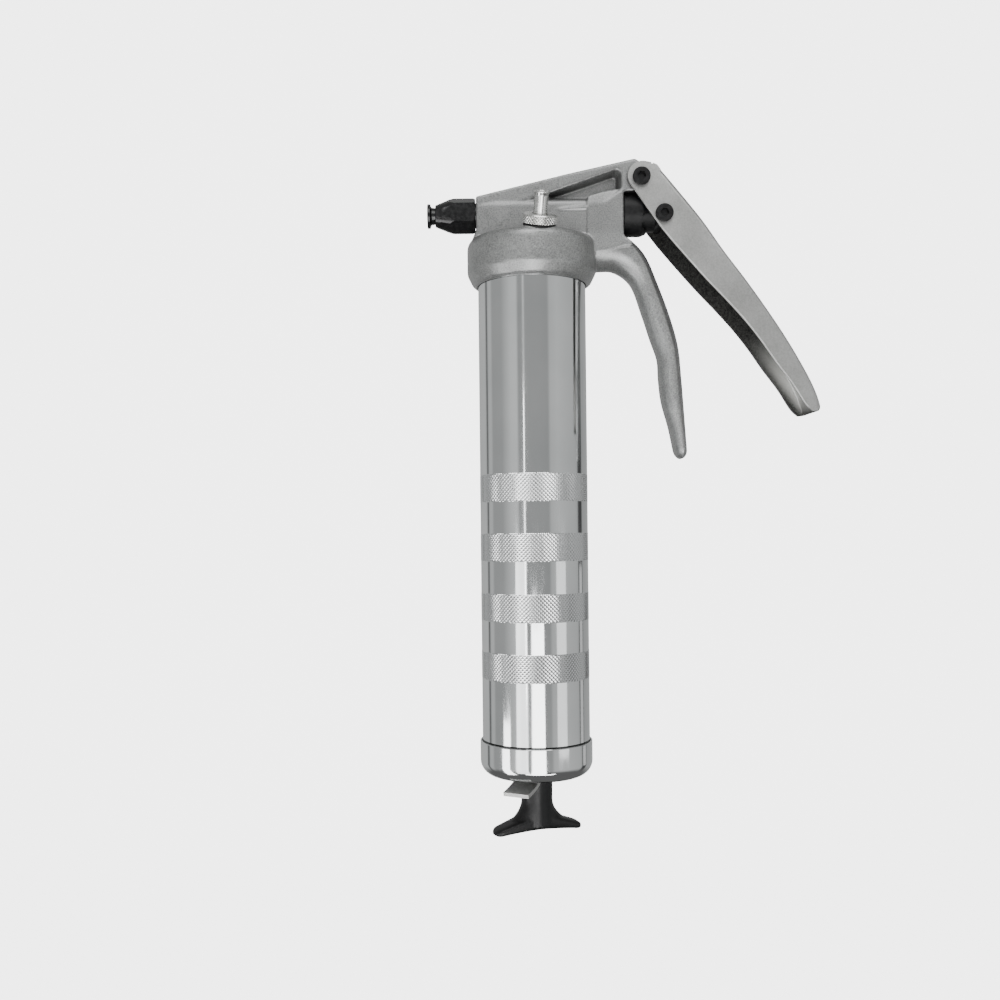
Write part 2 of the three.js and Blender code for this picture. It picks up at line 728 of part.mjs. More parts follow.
function barrelCap() {
  const cornerCentreR = CAP_R - CAP_CORNER_R;
  const corner = Array.from({ length: 6 }, (_, i) => {
    const angle = (Math.PI / 2) * (i / 5);
    return [cornerCentreR + CAP_CORNER_R * Math.sin(angle), CAP_CORNER_R * (1 - Math.cos(angle))];
  });
  const innerR = BARREL_R + GAP;
  const floorEdgeR = 24.4;
  return revolve([
    [BUSH_HOLE_R, RECESS_ROOF_Z],
    [RECESS_R, RECESS_ROOF_Z],
    [RECESS_R, 1],
    [RECESS_R + 1.2, 0],
    ...corner,
    [CAP_R, CAP_HEIGHT - 0.5],
    [CAP_R - 0.4, CAP_HEIGHT],
    [innerR, CAP_HEIGHT],
    [innerR, BARREL_BOTTOM_Z - GAP],
    [floorEdgeR, CAP_FLOOR_Z],
    [RECESS_R + CAP_SHEET, CAP_FLOOR_Z],
    [RECESS_R + CAP_SHEET, RECESS_ROOF_Z + CAP_SHEET],
    [BUSH_HOLE_R, RECESS_ROOF_Z + CAP_SHEET],
  ]);
}
addNode("barrel_cap", barrelCap(), brightPlate());

const roofTop = RECESS_ROOF_Z + CAP_SHEET;
const bushBoreR = ROD_R + 0.4;
const bushR = BUSH_HOLE_R - GAP;
const bushTop = roofTop + GAP + 1.5;
const bushSection = [
  [bushBoreR, RECESS_ROOF_Z + 0.2],
  [bushR, RECESS_ROOF_Z + 0.2],
  [bushR, roofTop + GAP],
  [bushR + 3, roofTop + GAP],
  [bushR + 3, bushTop],
  [bushBoreR, bushTop],
];
addNode("rod_bush", revolve(bushSection, SMALL_ROUND), brass());

// ---- Follower rod and its T-handle ----
const CROSS_PIN_Z = -10;
const CROSS_PIN_R = 1.5;
const CROSS_PIN_LENGTH = 15;
const ROD_BOTTOM_Z = -17;
const ROD_TOP_Z = 252;

function followerRod() {
  const shaft = solid(revolve(diskSection(ROD_R, ROD_BOTTOM_Z, ROD_TOP_Z), SMALL_ROUND));
  const holeR = CROSS_PIN_R + GAP;
  const hole = new THREE.CylinderGeometry(holeR, holeR, 20, 16).rotateZ(HANDLE_TURN);
  return geometryOf(cut(shaft, hole.translate(0, 0, CROSS_PIN_Z)));
}
addNode("follower_rod", followerRod(), brightPlate());

const handlePin = new THREE.CylinderGeometry(CROSS_PIN_R, CROSS_PIN_R, CROSS_PIN_LENGTH, 16)
  .rotateZ(HANDLE_TURN)
  .translate(0, 0, CROSS_PIN_Z);
addNode("handle_pin", handlePin, springSteel());

// The wings droop from the stem and end in round tips.
function wingOutline() {
  const reach = WING_REACH;
  const outline = new THREE.Shape();
  outline.moveTo(-9, -15);
  outline.splineThru([v2(-11, -19), v2(-16, -22.6), v2(2.2 - reach, -25.4)]);
  outline.lineTo(-reach, -28);
  outline.lineTo(0.8 - reach, -30.8);
  outline.lineTo(3.2 - reach, -31.6);
  outline.splineThru([v2(-12, -30.4), v2(0, -29.6), v2(12, -30.4), v2(reach - 3.2, -31.6)]);
  outline.lineTo(reach - 0.8, -30.8);
  outline.lineTo(reach, -28);
  outline.lineTo(reach - 2.2, -25.4);
  outline.splineThru([v2(16, -22.6), v2(11, -19), v2(9, -15)]);
  return outline;
}

function tHandle() {
  const stem = revolve([
    [0, -28],
    [STEM_R, -28],
    [STEM_R, STEM_TOP_Z - 1],
    [STEM_R - 1, STEM_TOP_Z],
    [0, STEM_TOP_Z],
  ], 32);
  const planOutline = shapeOf([
    [-WING_REACH, -3.5],
    [4 - WING_REACH, -5.5],
    [0, -7],
    [WING_REACH - 4, -5.5],
    [WING_REACH, -3.5],
    [WING_REACH, 3.5],
    [WING_REACH - 4, 5.5],
    [0, 7],
    [4 - WING_REACH, 5.5],
    [-WING_REACH, 3.5],
  ]);
  const wings = solid(plateXZ(wingOutline(), 20)).intersect(solid(plateXY(planOutline, -40, 0)));
  const socket = revolve(diskSection(ROD_R + GAP, ROD_BOTTOM_Z - 0.5, 2), SMALL_ROUND);
  const holeFront = -CROSS_PIN_LENGTH / 2 - GAP; // the pin's hole is open at the back only
  const holeBack = STEM_R + 2;
  const holeR = CROSS_PIN_R + GAP;
  const pinHole = new THREE.CylinderGeometry(holeR, holeR, holeBack - holeFront, 16)
    .translate(0, (holeBack + holeFront) / 2, CROSS_PIN_Z);
  return geometryOf(cut(wings.add(solid(stem)), socket, pinHole));
}
addNode("t_handle", tHandle(), blackPlastic()).rotation.z = HANDLE_TURN;

const BARREL_BORE_R = BARREL_R - BARREL_WALL;
const PLATE_THICKNESS = 2;
const plateSection = ringSection(ROD_R + GAP, BARREL_BORE_R - 4, FOLLOWER_Z, FOLLOWER_Z + PLATE_THICKNESS);
addNode("follower_plate", revolve(plateSection, 36), springSteel());

const cupBase = FOLLOWER_Z + PLATE_THICKNESS + GAP;
const sealSection = [
  [ROD_R + GAP, cupBase],
  [24.5, cupBase],
  [BARREL_BORE_R - 0.4, cupBase + 11],
  [BARREL_BORE_R - 2, cupBase + 11],
  [22.6, cupBase + 3],
  [ROD_R + GAP, cupBase + 3],
];
addNode("follower_cup", revolve(sealSection, 36), rubber());

const washerLow = cupBase + 3 + GAP;
const washerSection = ringSection(ROD_R + GAP, 10, washerLow, washerLow + 1.5);
addNode("follower_washer", revolve(washerSection, SMALL_ROUND), springSteel());

function followerNut() {
  const low = washerLow + 1.5 + GAP;
  const bore = revolve(diskSection(ROD_R + GAP, low - 1, low + 7), SMALL_ROUND);
  return geometryOf(cut(solid(hexAlongZ(13, low, low + 5.5)), bore));
}
addNode("follower_nut", followerNut(), springSteel());
const followerSpring = spring(20, 2, 11, CAP_FLOOR_Z + GAP, FOLLOWER_Z - GAP, 12);
addNode("follower_spring", followerSpring, springSteel());

// ---- Latch: a bent plate that bites on the rod until its tab is pressed ----
function latchPlate() {
  const half = LATCH_SHEET / 2;
  const outline = shapeOf([
    [0, -half],
    [20.2, -half],
    [26.2, -4 - half],
    [38.5, -6.6 - half],
    [38.5, -6.6 + half],
    [26.8, -4 + half],
    [20.8, half],
    [0, half],
  ]);
  const hole = revolve(diskSection(ROD_R + 0.6, -4, 4), SMALL_ROUND).translate(LATCH_PIVOT_BACK, 0, 0);
  return geometryOf(cut(solid(plateXZ(outline, LATCH_WIDTH)), hole));
}
addNode("latch_plate", latchPlate(), brushedSteel(), latchPivot);

const latchSpring = spring(6.2, 0.8, 2, LATCH_PIVOT_Z + LATCH_SHEET / 2 + GAP, RECESS_ROOF_Z - GAP, 16);
addNode("latch_spring", latchSpring, springSteel());

// ---- Bleed valve: body in the head, knurled nut and spring-loaded stem ----
const SHELL_BORE_R = 2.9;
const SHELL_TOP = 2.4;
const SHELL_FLOOR = -4.2;
const bodySection = [
  [0, -VALVE_BORE_DEPTH + GAP],
  [VALVE_BORE_R - GAP, -VALVE_BORE_DEPTH + GAP],
  [VALVE_BORE_R - GAP, SHELL_TOP],
  [SHELL_BORE_R, SHELL_TOP],
  [SHELL_BORE_R, SHELL_FLOOR],
  [0, SHELL_FLOOR],
];
addNode("valve_body", revolve(bodySection, SMALL_ROUND), nickel(), valveAxis);

const ringSeal = ringSection(VALVE_BORE_R + GAP, VALVE_NUT_R - 0.6, GAP - VALVE_FACE_DEPTH, -GAP);
addNode("valve_o_ring", revolve(ringSeal, 32), rubber(), valveAxis);

const nutRoof = VALVE_NUT_HEIGHT - 1;
const nutHoleR = VALVE_STEM_R + GAP;
const nutSection = [
  [VALVE_BORE_R, 0],
  [VALVE_NUT_R - 0.4, 0],
  [VALVE_NUT_R, 0.4],
  [VALVE_NUT_R, VALVE_NUT_HEIGHT - 0.6],
  [VALVE_NUT_R - 0.8, VALVE_NUT_HEIGHT],
  [nutHoleR, VALVE_NUT_HEIGHT],
  [nutHoleR, nutRoof],
  [VALVE_BORE_R, nutRoof],
];
addNode("valve_nut", revolve(nutSection, 36), nickel(), valveAxis);

// The stem stands on its spring, 1.8 mm clear of the valve body's rim so that it can be pressed.
const STEM_FOOT = -0.2;
const STEM_SHOULDER = SHELL_TOP + 1.8;
const STEM_END = 15.75;
const stemSection = [
  [0, STEM_FOOT],
  [SHELL_BORE_R - GAP, STEM_FOOT],
  [SHELL_BORE_R - GAP, STEM_SHOULDER],
  [VALVE_STEM_R, STEM_SHOULDER],
  [VALVE_STEM_R, STEM_END - 1.8],
  [VALVE_STEM_R + 0.5, STEM_END - 0.8],
  [VALVE_STEM_R + 0.5, STEM_END],
  [VALVE_STEM_R - 0.6, STEM_END],
  [VALVE_STEM_R - 1, STEM_END - 1],
  [0, STEM_END - 1],
];
addNode("valve_stem", revolve(stemSection, SMALL_ROUND), nickel(), valveAxis);
const valveSpring = spring(2, 0.6, 2.5, SHELL_FLOOR + GAP, STEM_FOOT - GAP, 12);
addNode("valve_spring", valveSpring, springSteel(), valveAxis);

export default gun;
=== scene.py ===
import json
import math

import bmesh
import bpy
from mathutils import Matrix, Vector


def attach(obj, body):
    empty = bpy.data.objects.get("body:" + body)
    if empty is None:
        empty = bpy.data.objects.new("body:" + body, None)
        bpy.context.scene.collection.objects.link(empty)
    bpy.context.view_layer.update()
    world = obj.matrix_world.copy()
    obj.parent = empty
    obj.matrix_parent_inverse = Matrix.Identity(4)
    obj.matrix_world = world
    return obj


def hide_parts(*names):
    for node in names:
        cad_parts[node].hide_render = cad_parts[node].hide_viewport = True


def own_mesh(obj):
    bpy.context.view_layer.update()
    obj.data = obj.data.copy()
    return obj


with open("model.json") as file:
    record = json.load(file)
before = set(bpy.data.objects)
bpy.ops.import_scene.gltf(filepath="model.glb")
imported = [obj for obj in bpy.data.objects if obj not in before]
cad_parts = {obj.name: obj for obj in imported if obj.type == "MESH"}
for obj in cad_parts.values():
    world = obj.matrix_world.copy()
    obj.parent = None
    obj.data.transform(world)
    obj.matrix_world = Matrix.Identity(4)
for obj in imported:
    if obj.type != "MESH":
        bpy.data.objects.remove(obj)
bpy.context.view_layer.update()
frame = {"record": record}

# One-hand grease gun. Shapes are worked out in millimetres, in the frame that all tools share,
# and stored in metres.
MM = 0.001

# ---- Driving dimensions, in millimetres ----
BARREL_R = 28.25
BARREL_BORE_R = 27.0
BARREL_BOTTOM_Z = 5.0
BARREL_TOP_Z = 274.0
BAND_HEIGHT = 13.8
BAND_CENTRES_Z = (58.1, 88.5, 119.4, 149.9)
BAND_COLUMNS = 352  # four for each diamond round the barrel
BAND_RELIEF = 0.13
CLEARANCE = 0.3  # between parts that screw or slide together

CAP_R = 29.5
CAP_HEIGHT = 18.0
CAP_CORNER_R = 7.6
RECESS_R = 15.2
RECESS_ROOF_Z = 7.0

COLLAR_R = 33.8
COLLAR_LIP_Z = 256.3
COLLAR_TOP_Z = 280.8
HEAD_ROOF_Z = 276.4

PUMP_Z = 294.3
PUMP_BOTTOM_Z, PUMP_TOP_Z = 277.0, 300.4
OUTLET_X = -29.0
OUTLET_HALF_WIDTH = 8.9
BOSS_LEFT_X = 28.8
BOSS_RIGHT_X = 47.6
HEAD_HALF_WIDTH = 12.0
INLET_X, INLET_R = 4.5, 2.5
LINER_R = 6.5
PLUNGER_R = 4.0
PIVOT_X, PIVOT_Z = 56.3, 309.6
LINK_RADIUS = 22.26
LINK_ANGLE = math.radians(31.4)
LEVER_TRAVEL = math.radians(20)
LINK_X = PIVOT_X + LINK_RADIUS * math.sin(LINK_ANGLE)
LINK_Z = PIVOT_Z - LINK_RADIUS * math.cos(LINK_ANGLE)
PIN_R = 3.0

LEVER_HALF_WIDTH = 14.3
LEVER_SHEET = 2.0
LEVER_BEND_R = 2.6
LEVER_END_X, LEVER_END_Z = 57.1, 310.2
LEVER_END_R = 7.6
LUG_R = 7.5

HANDLE_HALF_WIDTH = 9.5
ROD_R = 3.5
HANDLE_PIN_Z = -10.0
HANDLE_PIN_HOLE_R = 1.8
WING_TURN = math.radians(20)
WING_REACH = 24.8
LATCH_AZIMUTH = math.radians(243)
LATCH_REST_TILT = math.radians(3)
LATCH_PIVOT_BACK = 12.0
LATCH_PIVOT_Z = 2.4

VALVE_SEAT = Vector((3.0, -25.0, 283.1))
VALVE_TILT = math.radians(25)
VALVE_LEAN = math.radians(4)
VALVE_FACE = -1.8  # the spot face in the collar, along the valve's axis

# ---- Where turned pieces stand: local +Z is each piece's axis ----
UPRIGHT = Matrix.Identity(4)
INLET_AXIS = Matrix.Translation((INLET_X, 0, 0))
PUMP_AXIS = Matrix.Translation((0, 0, PUMP_Z)) @ Matrix.Rotation(math.pi / 2, 4, "Y")
VALVE_AXIS = (
    Matrix.Translation(VALVE_SEAT)
    @ Matrix.Rotation(VALVE_LEAN, 4, "Y")
    @ Matrix.Rotation(VALVE_TILT, 4, "X")
)
LATCH_FRAME = (
    Matrix.Rotation(LATCH_AZIMUTH, 4, "Z")
    @ Matrix.Translation((-LATCH_PIVOT_BACK, 0, LATCH_PIVOT_Z))
    @ Matrix.Rotation(LATCH_REST_TILT, 4, "Y")
)


# ======== Mesh helpers ========
def placed(name, data):
    """A new object in the scene, round a mesh, a light or a camera."""
    obj = bpy.data.objects.new(name, data)
    bpy.context.scene.collection.objects.link(obj)
    return obj


def new_object(name, verts, faces, place=UPRIGHT, sharp_angle=32):
    """A mesh object from millimetre points, welded, facing out and smooth up to sharp_angle degrees."""
    bm = bmesh.new()
    made = [bm.verts.new((place @ Vector(v)) * MM) for v in verts]
    for face in faces:
        corners = [made[i] for i in face]
        if len(set(corners)) > 2:
            bm.faces.new(corners)
    bmesh.ops.remove_doubles(bm, verts=bm.verts, dist=1e-7)
    bmesh.ops.dissolve_degenerate(bm, edges=bm.edges, dist=1e-8)
    bmesh.ops.recalc_face_normals(bm, faces=bm.faces)
    mesh = bpy.data.meshes.new(name)
    bm.to_mesh(mesh)
    bm.free()
    obj = placed(name, mesh)
    shade(obj, sharp_angle)
    return obj


def shade(obj, sharp_angle):
    obj.data.shade_smooth()
    obj.data.set_sharp_from_angle(angle=math.radians(sharp_angle))


def flat_faces_stay_flat(obj):
    """Keeps the shading of rounded edges off the wide faces beside them."""
    weighted = obj.modifiers.new("weighted", "WEIGHTED_NORMAL")
    weighted.keep_sharp = True
    apply_modifiers(obj)


def apply_modifiers(obj):
    graph = bpy.context.evaluated_depsgraph_get()
    graph.update()
    finished = bpy.data.meshes.new_from_object(obj.evaluated_get(graph))
    obj.modifiers.clear()
    obj.data = finished


def boolean(obj, tool, operation):
    """Joins, cuts or intersects obj with tool, which is used up."""
    modifier = obj.modifiers.new(operation, "BOOLEAN")
    modifier.operation = operation
    modifier.object = tool
    modifier.solver = "EXACT"
    apply_modifiers(obj)
    bpy.data.objects.remove(tool)
    return obj


def bevelled(obj, width, segments=3, angle=30, sharp_angle=32):
    modifier = obj.modifiers.new("edges", "BEVEL")
    modifier.width = width * MM
    modifier.segments = segments
    modifier.limit_method = "ANGLE"
    modifier.angle_limit = math.radians(angle)
    apply_modifiers(obj)
    shade(obj, sharp_angle)
    return obj


def filleted(corners, arc_steps=5):
    """A closed outline in which a corner given as (x, y, radius) is rounded off."""
    outline = []
    for i, corner in enumerate(corners):
        here = Vector(corner[:2])
        radius = corner[2] if len(corner) > 2 else 0
        if not radius:
            outline.append(here)
            continue
        before = (Vector(corners[i - 1][:2]) - here).normalized()
        after = (Vector(corners[(i + 1) % len(corners)][:2]) - here).normalized()
        half = before.angle(after) / 2
        centre = here + (before + after).normalized() * radius / math.sin(half)
        start = here + before * radius / math.tan(half) - centre
        end = here + after * radius / math.tan(half) - centre
        sweep = start.angle_signed(end)
        for step in range(arc_steps + 1):
            outline.append(centre + rotated(start, -sweep * step / arc_steps))
    return outline


def rotated(v, angle):
    c, s = math.cos(angle), math.sin(angle)
    return Vector((v.x * c - v.y * s, v.x * s + v.y * c))


def smooth_curve(points, per_span=8):
    """Points along a Catmull-Rom curve through the given (x, z) points."""
    pts = [Vector(p) for p in points]
    pts = [pts[0] * 2 - pts[1], *pts, pts[-1] * 2 - pts[-2]]
    curve = []
    for a, b, c, d in zip(pts, pts[1:], pts[2:], pts[3:]):
        for step in range(per_span):
            t = step / per_span
            cubic = 2 * b + (c - a) * t
            cubic += (2 * a - 5 * b + 4 * c - d) * t * t
            cubic += (3 * b - a - 3 * c + d) * t ** 3
            curve.append(0.5 * cubic)
    curve.append(pts[-2])
    return curve


def even_points(curve, count):
    """The curve's points moved to count places an equal length apart."""
    lengths = [0.0]
    for a, b in zip(curve, curve[1:]):
        lengths.append(lengths[-1] + (b - a).length)
    spaced, span = [], 0
    for i in range(count):
        target = lengths[-1] * i / (count - 1)
        while span < len(curve) - 2 and lengths[span + 1] < target:
            span += 1
        share = (target - lengths[span]) / (lengths[span + 1] - lengths[span])
        spaced.append(curve[span].lerp(curve[span + 1], min(max(share, 0), 1)))
    return spaced


def knurled_rows(radius, low, high, pitch):
    """Section rows for a diamond-knurled stretch; the third value is a row's place in the pattern."""
    count = round(4 * (high - low) / pitch)
    return [(radius, low + (high - low) * i / count, i) for i in range(count + 1)]


def knurl_height(column, row):
    """0 in the two crossing sets of grooves and 1 on the points between them, four steps to a diamond."""
    wave = (1.0, 0.5, 0.0, 0.5)
    return min(wave[(column + row) % 4], wave[(column - row) % 4])


def turned(name, section, place=UPRIGHT, columns=96, relief=0.0, sharp_angle=32):
    """A piece turned from a closed section of (radius, z) points; knurled rows stand out by the relief."""
    verts = []
    for radius, z, *knurl in section:
        for column in range(columns):
            angle = 2 * math.pi * column / columns
            r = radius
            if knurl:
                r += relief * (2 * knurl_height(column, knurl[0]) - 1)
            verts.append((r * math.cos(angle), r * math.sin(angle), z))
    faces = []
    for index, here in enumerate(section):
        following = section[(index + 1) % len(section)]
        if here[0] == 0 and following[0] == 0:
            continue
        below, above = index * columns, (index + 1) % len(section) * columns
        knurled = len(here) > 2 and len(following) > 2
        for column in range(columns):
            right = (column + 1) % columns
            quad = (below + column, below + right, above + right, above + column)
            if not knurled:
                faces.append(quad)
            elif (column - here[2]) % 2:
                faces += [(quad[0], quad[1], quad[3]), (quad[1], quad[2], quad[3])]
            else:
                faces += [(quad[0], quad[1], quad[2]), (quad[0], quad[2], quad[3])]
    return new_object(name, verts, faces, place, sharp_angle)


def disk(radius, low, high):
    return [(0, low), (radius, low), (radius, high), (0, high)]


def ring_section(inner, outer, low, high, inner_round=0.0, outer_round=0.0):
    """A plain ring's section, its edges rounded off."""
    return filleted([
        (inner, low, inner_round), (outer, low, outer_round), (outer, high, outer_round),
        (inner, high, inner_round),
    ])


def bored(obj, radius, low, high, place=UPRIGHT, columns=96):
    """Drills a round hole along the place's axis."""
    return boolean(obj, turned("bore", disk(radius, low, high), place, columns), "DIFFERENCE")


def lofted(name, sections, place=UPRIGHT, sharp_angle=32):
    """A closed solid through rings of equal point count, with flat ends."""
    count = len(sections[0])
    verts = [p for ring in sections for p in ring]
    faces = [tuple(range(count)), tuple(range(len(verts) - count, len(verts)))]
    for ring in range(len(sections) - 1):
        start = ring * count
        for i in range(count):
            j = (i + 1) % count
            faces.append((start + i, start + j, start + count + j, start + count + i))
    return new_object(name, verts, faces, place, sharp_angle)


def plate_xz(name, outline, half_width, place=UPRIGHT, sharp_angle=32):
    """A flat plate with its outline in the XZ plane, from y = -half_width to y = half_width."""
    front = [(p[0], -half_width, p[1]) for p in outline]
    back = [(p[0], half_width, p[1]) for p in outline]
    return lofted(name, [front, back], place, sharp_angle)


def plate_xy(name, outline, low, high, place=UPRIGHT):
    bottom = [(p[0], p[1], low) for p in outline]
    top = [(p[0], p[1], high) for p in outline]
    return lofted(name, [bottom, top], place)


def hexagon(across_flats, turn=0.0):
    corner = across_flats / math.sqrt(3)
    angles = [turn + math.radians(60) * i for i in range(6)]
    return [(corner * math.cos(a), corner * math.sin(a)) for a in angles]


def hex_bar(name, across_flats, low, high, place=UPRIGHT, turn=0.0):
    return plate_xy(name, hexagon(across_flats, turn), low, high, place)


def coil(name, radius, wire, turns, low, high, place=UPRIGHT):
    """A compression spring with closed end turns."""
    sides, per_turn = 10, 40
    pitch_end = wire * 1.05
    bottom, top = low + wire / 2, high - wire / 2
    closed = min(1.0, turns / 4)
    pitch = (top - bottom - 2 * closed * pitch_end) / (turns - 2 * closed)
    rings = []
    for step in range(int(turns * per_turn) + 1):
        turn = step / per_turn
        z = bottom + min(turn, closed) * pitch_end
        z += min(max(turn - closed, 0), turns - 2 * closed) * pitch
        z += max(turn - turns + closed, 0) * pitch_end
        angle = 2 * math.pi * turn
        ring = []
        for side in range(sides):
            lean = 2 * math.pi * side / sides
            r = radius + wire / 2 * math.cos(lean)
            ring.append((r * math.cos(angle), r * math.sin(angle), z + wire / 2 * math.sin(lean)))
        rings.append(ring)
    return lofted(name, rings, place, sharp_angle=50)


def remeshed(obj, voxel, smoothing):
    """Melts overlapping solids into one skin and softens its corners, as a casting or moulding has them."""
    skin = obj.modifiers.new("skin", "REMESH")
    skin.mode = "VOXEL"
    skin.voxel_size = voxel * MM
    soften = obj.modifiers.new("soften", "SMOOTH")
    soften.factor = 0.5
    soften.iterations = smoothing
    apply_modifiers(obj)
    return obj


def merged(name, objects):
    """One object that holds the meshes of several."""
    bm = bmesh.new()
    for obj in objects:
        bm.from_mesh(obj.data)
        bpy.data.objects.remove(obj)
    mesh = bpy.data.meshes.new(name)
    bm.to_mesh(mesh)
    bm.free()
    return placed(name, mesh)


# ======== Materials ========
class Nodes:
    """A short way to write the node tree of a new material, or of the world."""

    def __init__(self, name, kind="materials", shader="Principled BSDF"):
        self.owner = getattr(bpy.data, kind).new(name)
        self.owner.use_nodes = True
        self.tree = self.owner.node_tree
        self.shader = self.tree.nodes[shader]
        self.places = self.add("ShaderNodeTexCoord").outputs
        self.place = self.places["Object"]

    def add(self, kind, inputs=None, **settings):
        """A new node; its inputs are given by name or number."""
        node = self.tree.nodes.new(kind)
        for key, value in settings.items():
            setattr(node, key, value)
        for key, value in (inputs or {}).items():
            self.put(value, node.inputs[key])
        return node

    def put(self, value, socket):
        """Links a texture to a socket, or sets it to a number, a vector or a colour."""
        if isinstance(value, bpy.types.NodeSocket):
            self.tree.links.new(value, socket)
        elif socket.type == "RGBA":
            socket.default_value = (*value, 1)
        else:
            socket.default_value = value

    def set(self, **values):
        """Fills the shader's inputs; _ stands for a space in their names."""
        for key, value in values.items():
            self.put(value, self.shader.inputs[key.replace("_", " ")])
        return self.owner

    def stretched(self, scale, turn=(0, 0, 0)):
        """Object coordinates turned and scaled, for streaks."""
        inputs = {"Vector": self.place, "Scale": scale, "Rotation": turn}
        return self.add("ShaderNodeMapping", inputs).outputs["Vector"]

    def noise(self, scale, detail=4.0, roughness=0.5, vector=None):
        """A texture of 0 to 1; a scale of 1000 gives spots of about a millimetre."""
        inputs = {"Vector": vector or self.place, "Scale": scale, "Detail": detail, "Roughness": roughness}
        return self.add("ShaderNodeTexNoise", inputs).outputs["Fac"]

    def ramp(self, source, low, high, from_low=0.35, from_high=0.65, **settings):
        """Maps the source's range onto the one from low to high."""
        inputs = {"Value": source, "To Min": low, "To Max": high}
        inputs |= {"From Min": from_low, "From Max": from_high}
        return self.add("ShaderNodeMapRange", inputs, **settings).outputs["Result"]

    def along(self, direction, low_mm, high_mm):
        """Runs smoothly from 0 to 1 between two places along a direction."""
        dot = self.add("ShaderNodeVectorMath", {0: self.place, 1: direction}, operation="DOT_PRODUCT")
        reach = dot.outputs["Value"]
        return self.ramp(reach, 0, 1, low_mm * MM, high_mm * MM, interpolation_type="SMOOTHSTEP")

    def math(self, operation, first, second):
        return self.add("ShaderNodeMath", {0: first, 1: second}, operation=operation).outputs[0]

    def near_height(self, centre_mm, reach_mm):
        """1 within reach of a height above the origin and 0 elsewhere."""
        split = self.add("ShaderNodeSeparateXYZ", {"Vector": self.place})
        inputs = {0: split.outputs["Z"], 1: centre_mm * MM, 2: reach_mm * MM}
        return self.add("ShaderNodeMath", inputs, operation="COMPARE").outputs[0]

    def corners(self, distance_mm):
        """1 in the open, falling towards 0 deep in hollows and inside corners; the materials paint shade
        with it.
        """
        node = self.add("ShaderNodeAmbientOcclusion", {"Distance": distance_mm * MM}, samples=16)
        return self.ramp(node.outputs["AO"], 0, 1, 0.3, 0.78)

    def blend(self, first, second, share):
        """Two values laid over each other; share is the second one's part."""
        inputs = {"Factor": share, "A": first, "B": second}
        return self.add("ShaderNodeMix", inputs, data_type="FLOAT").outputs["Result"]

    def tinted(self, base, share, colour):
        """The base colour, with another laid over it where share is 1."""
        inputs = {"Factor": share, "A": base, "B": colour}
        return self.add("ShaderNodeMix", inputs, data_type="RGBA").outputs["Result"]

    def mix(self, factor, dark, light):
        """From the dark colour to the light one as the factor goes from 0 to 1."""
        return self.tinted(dark, factor, light)

    def bump(self, height, strength, distance_mm):
        """Adds a relief to those already there."""
        inputs = {"Height": height, "Strength": strength, "Distance": distance_mm * MM}
        node = self.add("ShaderNodeBump", inputs)
        previous = self.shader.inputs["Normal"].links
        if previous:
            self.put(previous[0].from_socket, node.inputs["Normal"])
        self.put(node.outputs["Normal"], self.shader.inputs["Normal"])


def cast_aluminium():
    """Blasted metal with fine dark spots, and with painted shade that darkens the upper body above the
    collar and its hollows.
    """
    n = Nodes("cast_aluminium")
    spot, pale_tone, upper_shade, hollow_shade = (0.19, 0.193, 0.192), (0.46, 0.465, 0.46), (0.1, 0.1, 0.1), (0.05, 0.05, 0.049)
    cloud = n.noise(70, 5, 0.6)
    grain = n.noise(1500, 3, 0.6)
    speckle = n.blend(n.ramp(cloud, 0, 1, 0.3, 0.7), n.ramp(grain, 0, 1, 0.34, 0.66), share=0.72)
    # Painted shade: the upper body above the collar is darkened towards a dark grey.
    above_collar = n.along((0, 0, 1), COLLAR_TOP_Z - 1.8, COLLAR_TOP_Z + 4.2)
    base = n.tinted(n.mix(speckle, spot, pale_tone), n.math("MULTIPLY", above_collar, 0.3), upper_shade)
    # Painted shade: hollows and inside corners darken to near black by ambient occlusion.
    open_air = n.corners(9)
    n.bump(grain, strength=0.4, distance_mm=0.12)
    return n.set(
        Base_Color=n.tinted(hollow_shade, open_air, base),
        Metallic=0.75,
        Roughness=n.ramp(grain, 0.3, 0.46),
    )


def bright_plate():
    """Chromed steel; the knurled bands are duller, with painted shade in their grooves, and a painted shade
    line runs at the cap's rim.
    """
    n = Nodes("bright_plate")
    wave = n.noise(14, 2, 0.5, n.stretched((1, 1, 0.25)))
    n.bump(wave, strength=0.08, distance_mm=0.3)
    haze = n.noise(300, 3, 0.6, n.stretched((1, 1, 0.15)))
    chrome = n.mix(n.ramp(n.noise(25, 3), 0, 1), (0.72, 0.735, 0.74), (0.8, 0.81, 0.815))
    bands = 0
    for centre in BAND_CENTRES_Z:
        bands = n.math("ADD", n.near_height(centre, BAND_HEIGHT / 2), bands)
    # Painted shade: the knurl's grooves darken by ambient occlusion.
    knurl = n.mix(n.corners(0.6), (0.3, 0.305, 0.31), (0.72, 0.73, 0.735))
    # Painted shade: a near-black line on the barrel just above the cap's rim, where the gap is shaded.
    rim = n.near_height(CAP_HEIGHT + 0.45, 0.4)
    colour = n.tinted(n.tinted(chrome, bands, knurl), rim, (0.03, 0.03, 0.03))
    roughness = n.blend(n.ramp(haze, 0.06, 0.12), n.ramp(haze, 0.2, 0.28), bands)
    return n.set(Base_Color=colour, Metallic=1.0, Roughness=roughness)


def brushed_steel():
    n = Nodes("brushed_steel")
    lean = math.radians(38)
    streaks = n.noise(220, 4, 0.6, n.stretched((12, 1, 1), (0, lean, 0)))
    grain = n.noise(1300, 2, 0.6)
    blotch = n.ramp(n.noise(40, 4, 0.6), 0, 1, 0.3, 0.7)
    speckle = n.blend(blotch, n.ramp(grain, 0, 1), 0.4)
    tint = n.mix(speckle, (0.37, 0.37, 0.36), (0.57, 0.57, 0.56))
    n.bump(streaks, strength=0.15, distance_mm=0.05)
    n.bump(grain, strength=0.3, distance_mm=0.06)
    return n.set(
        Base_Color=tint,
        Metallic=0.9,
        Roughness=n.ramp(streaks, 0.4, 0.5),
        Anisotropic=0.3,
    )


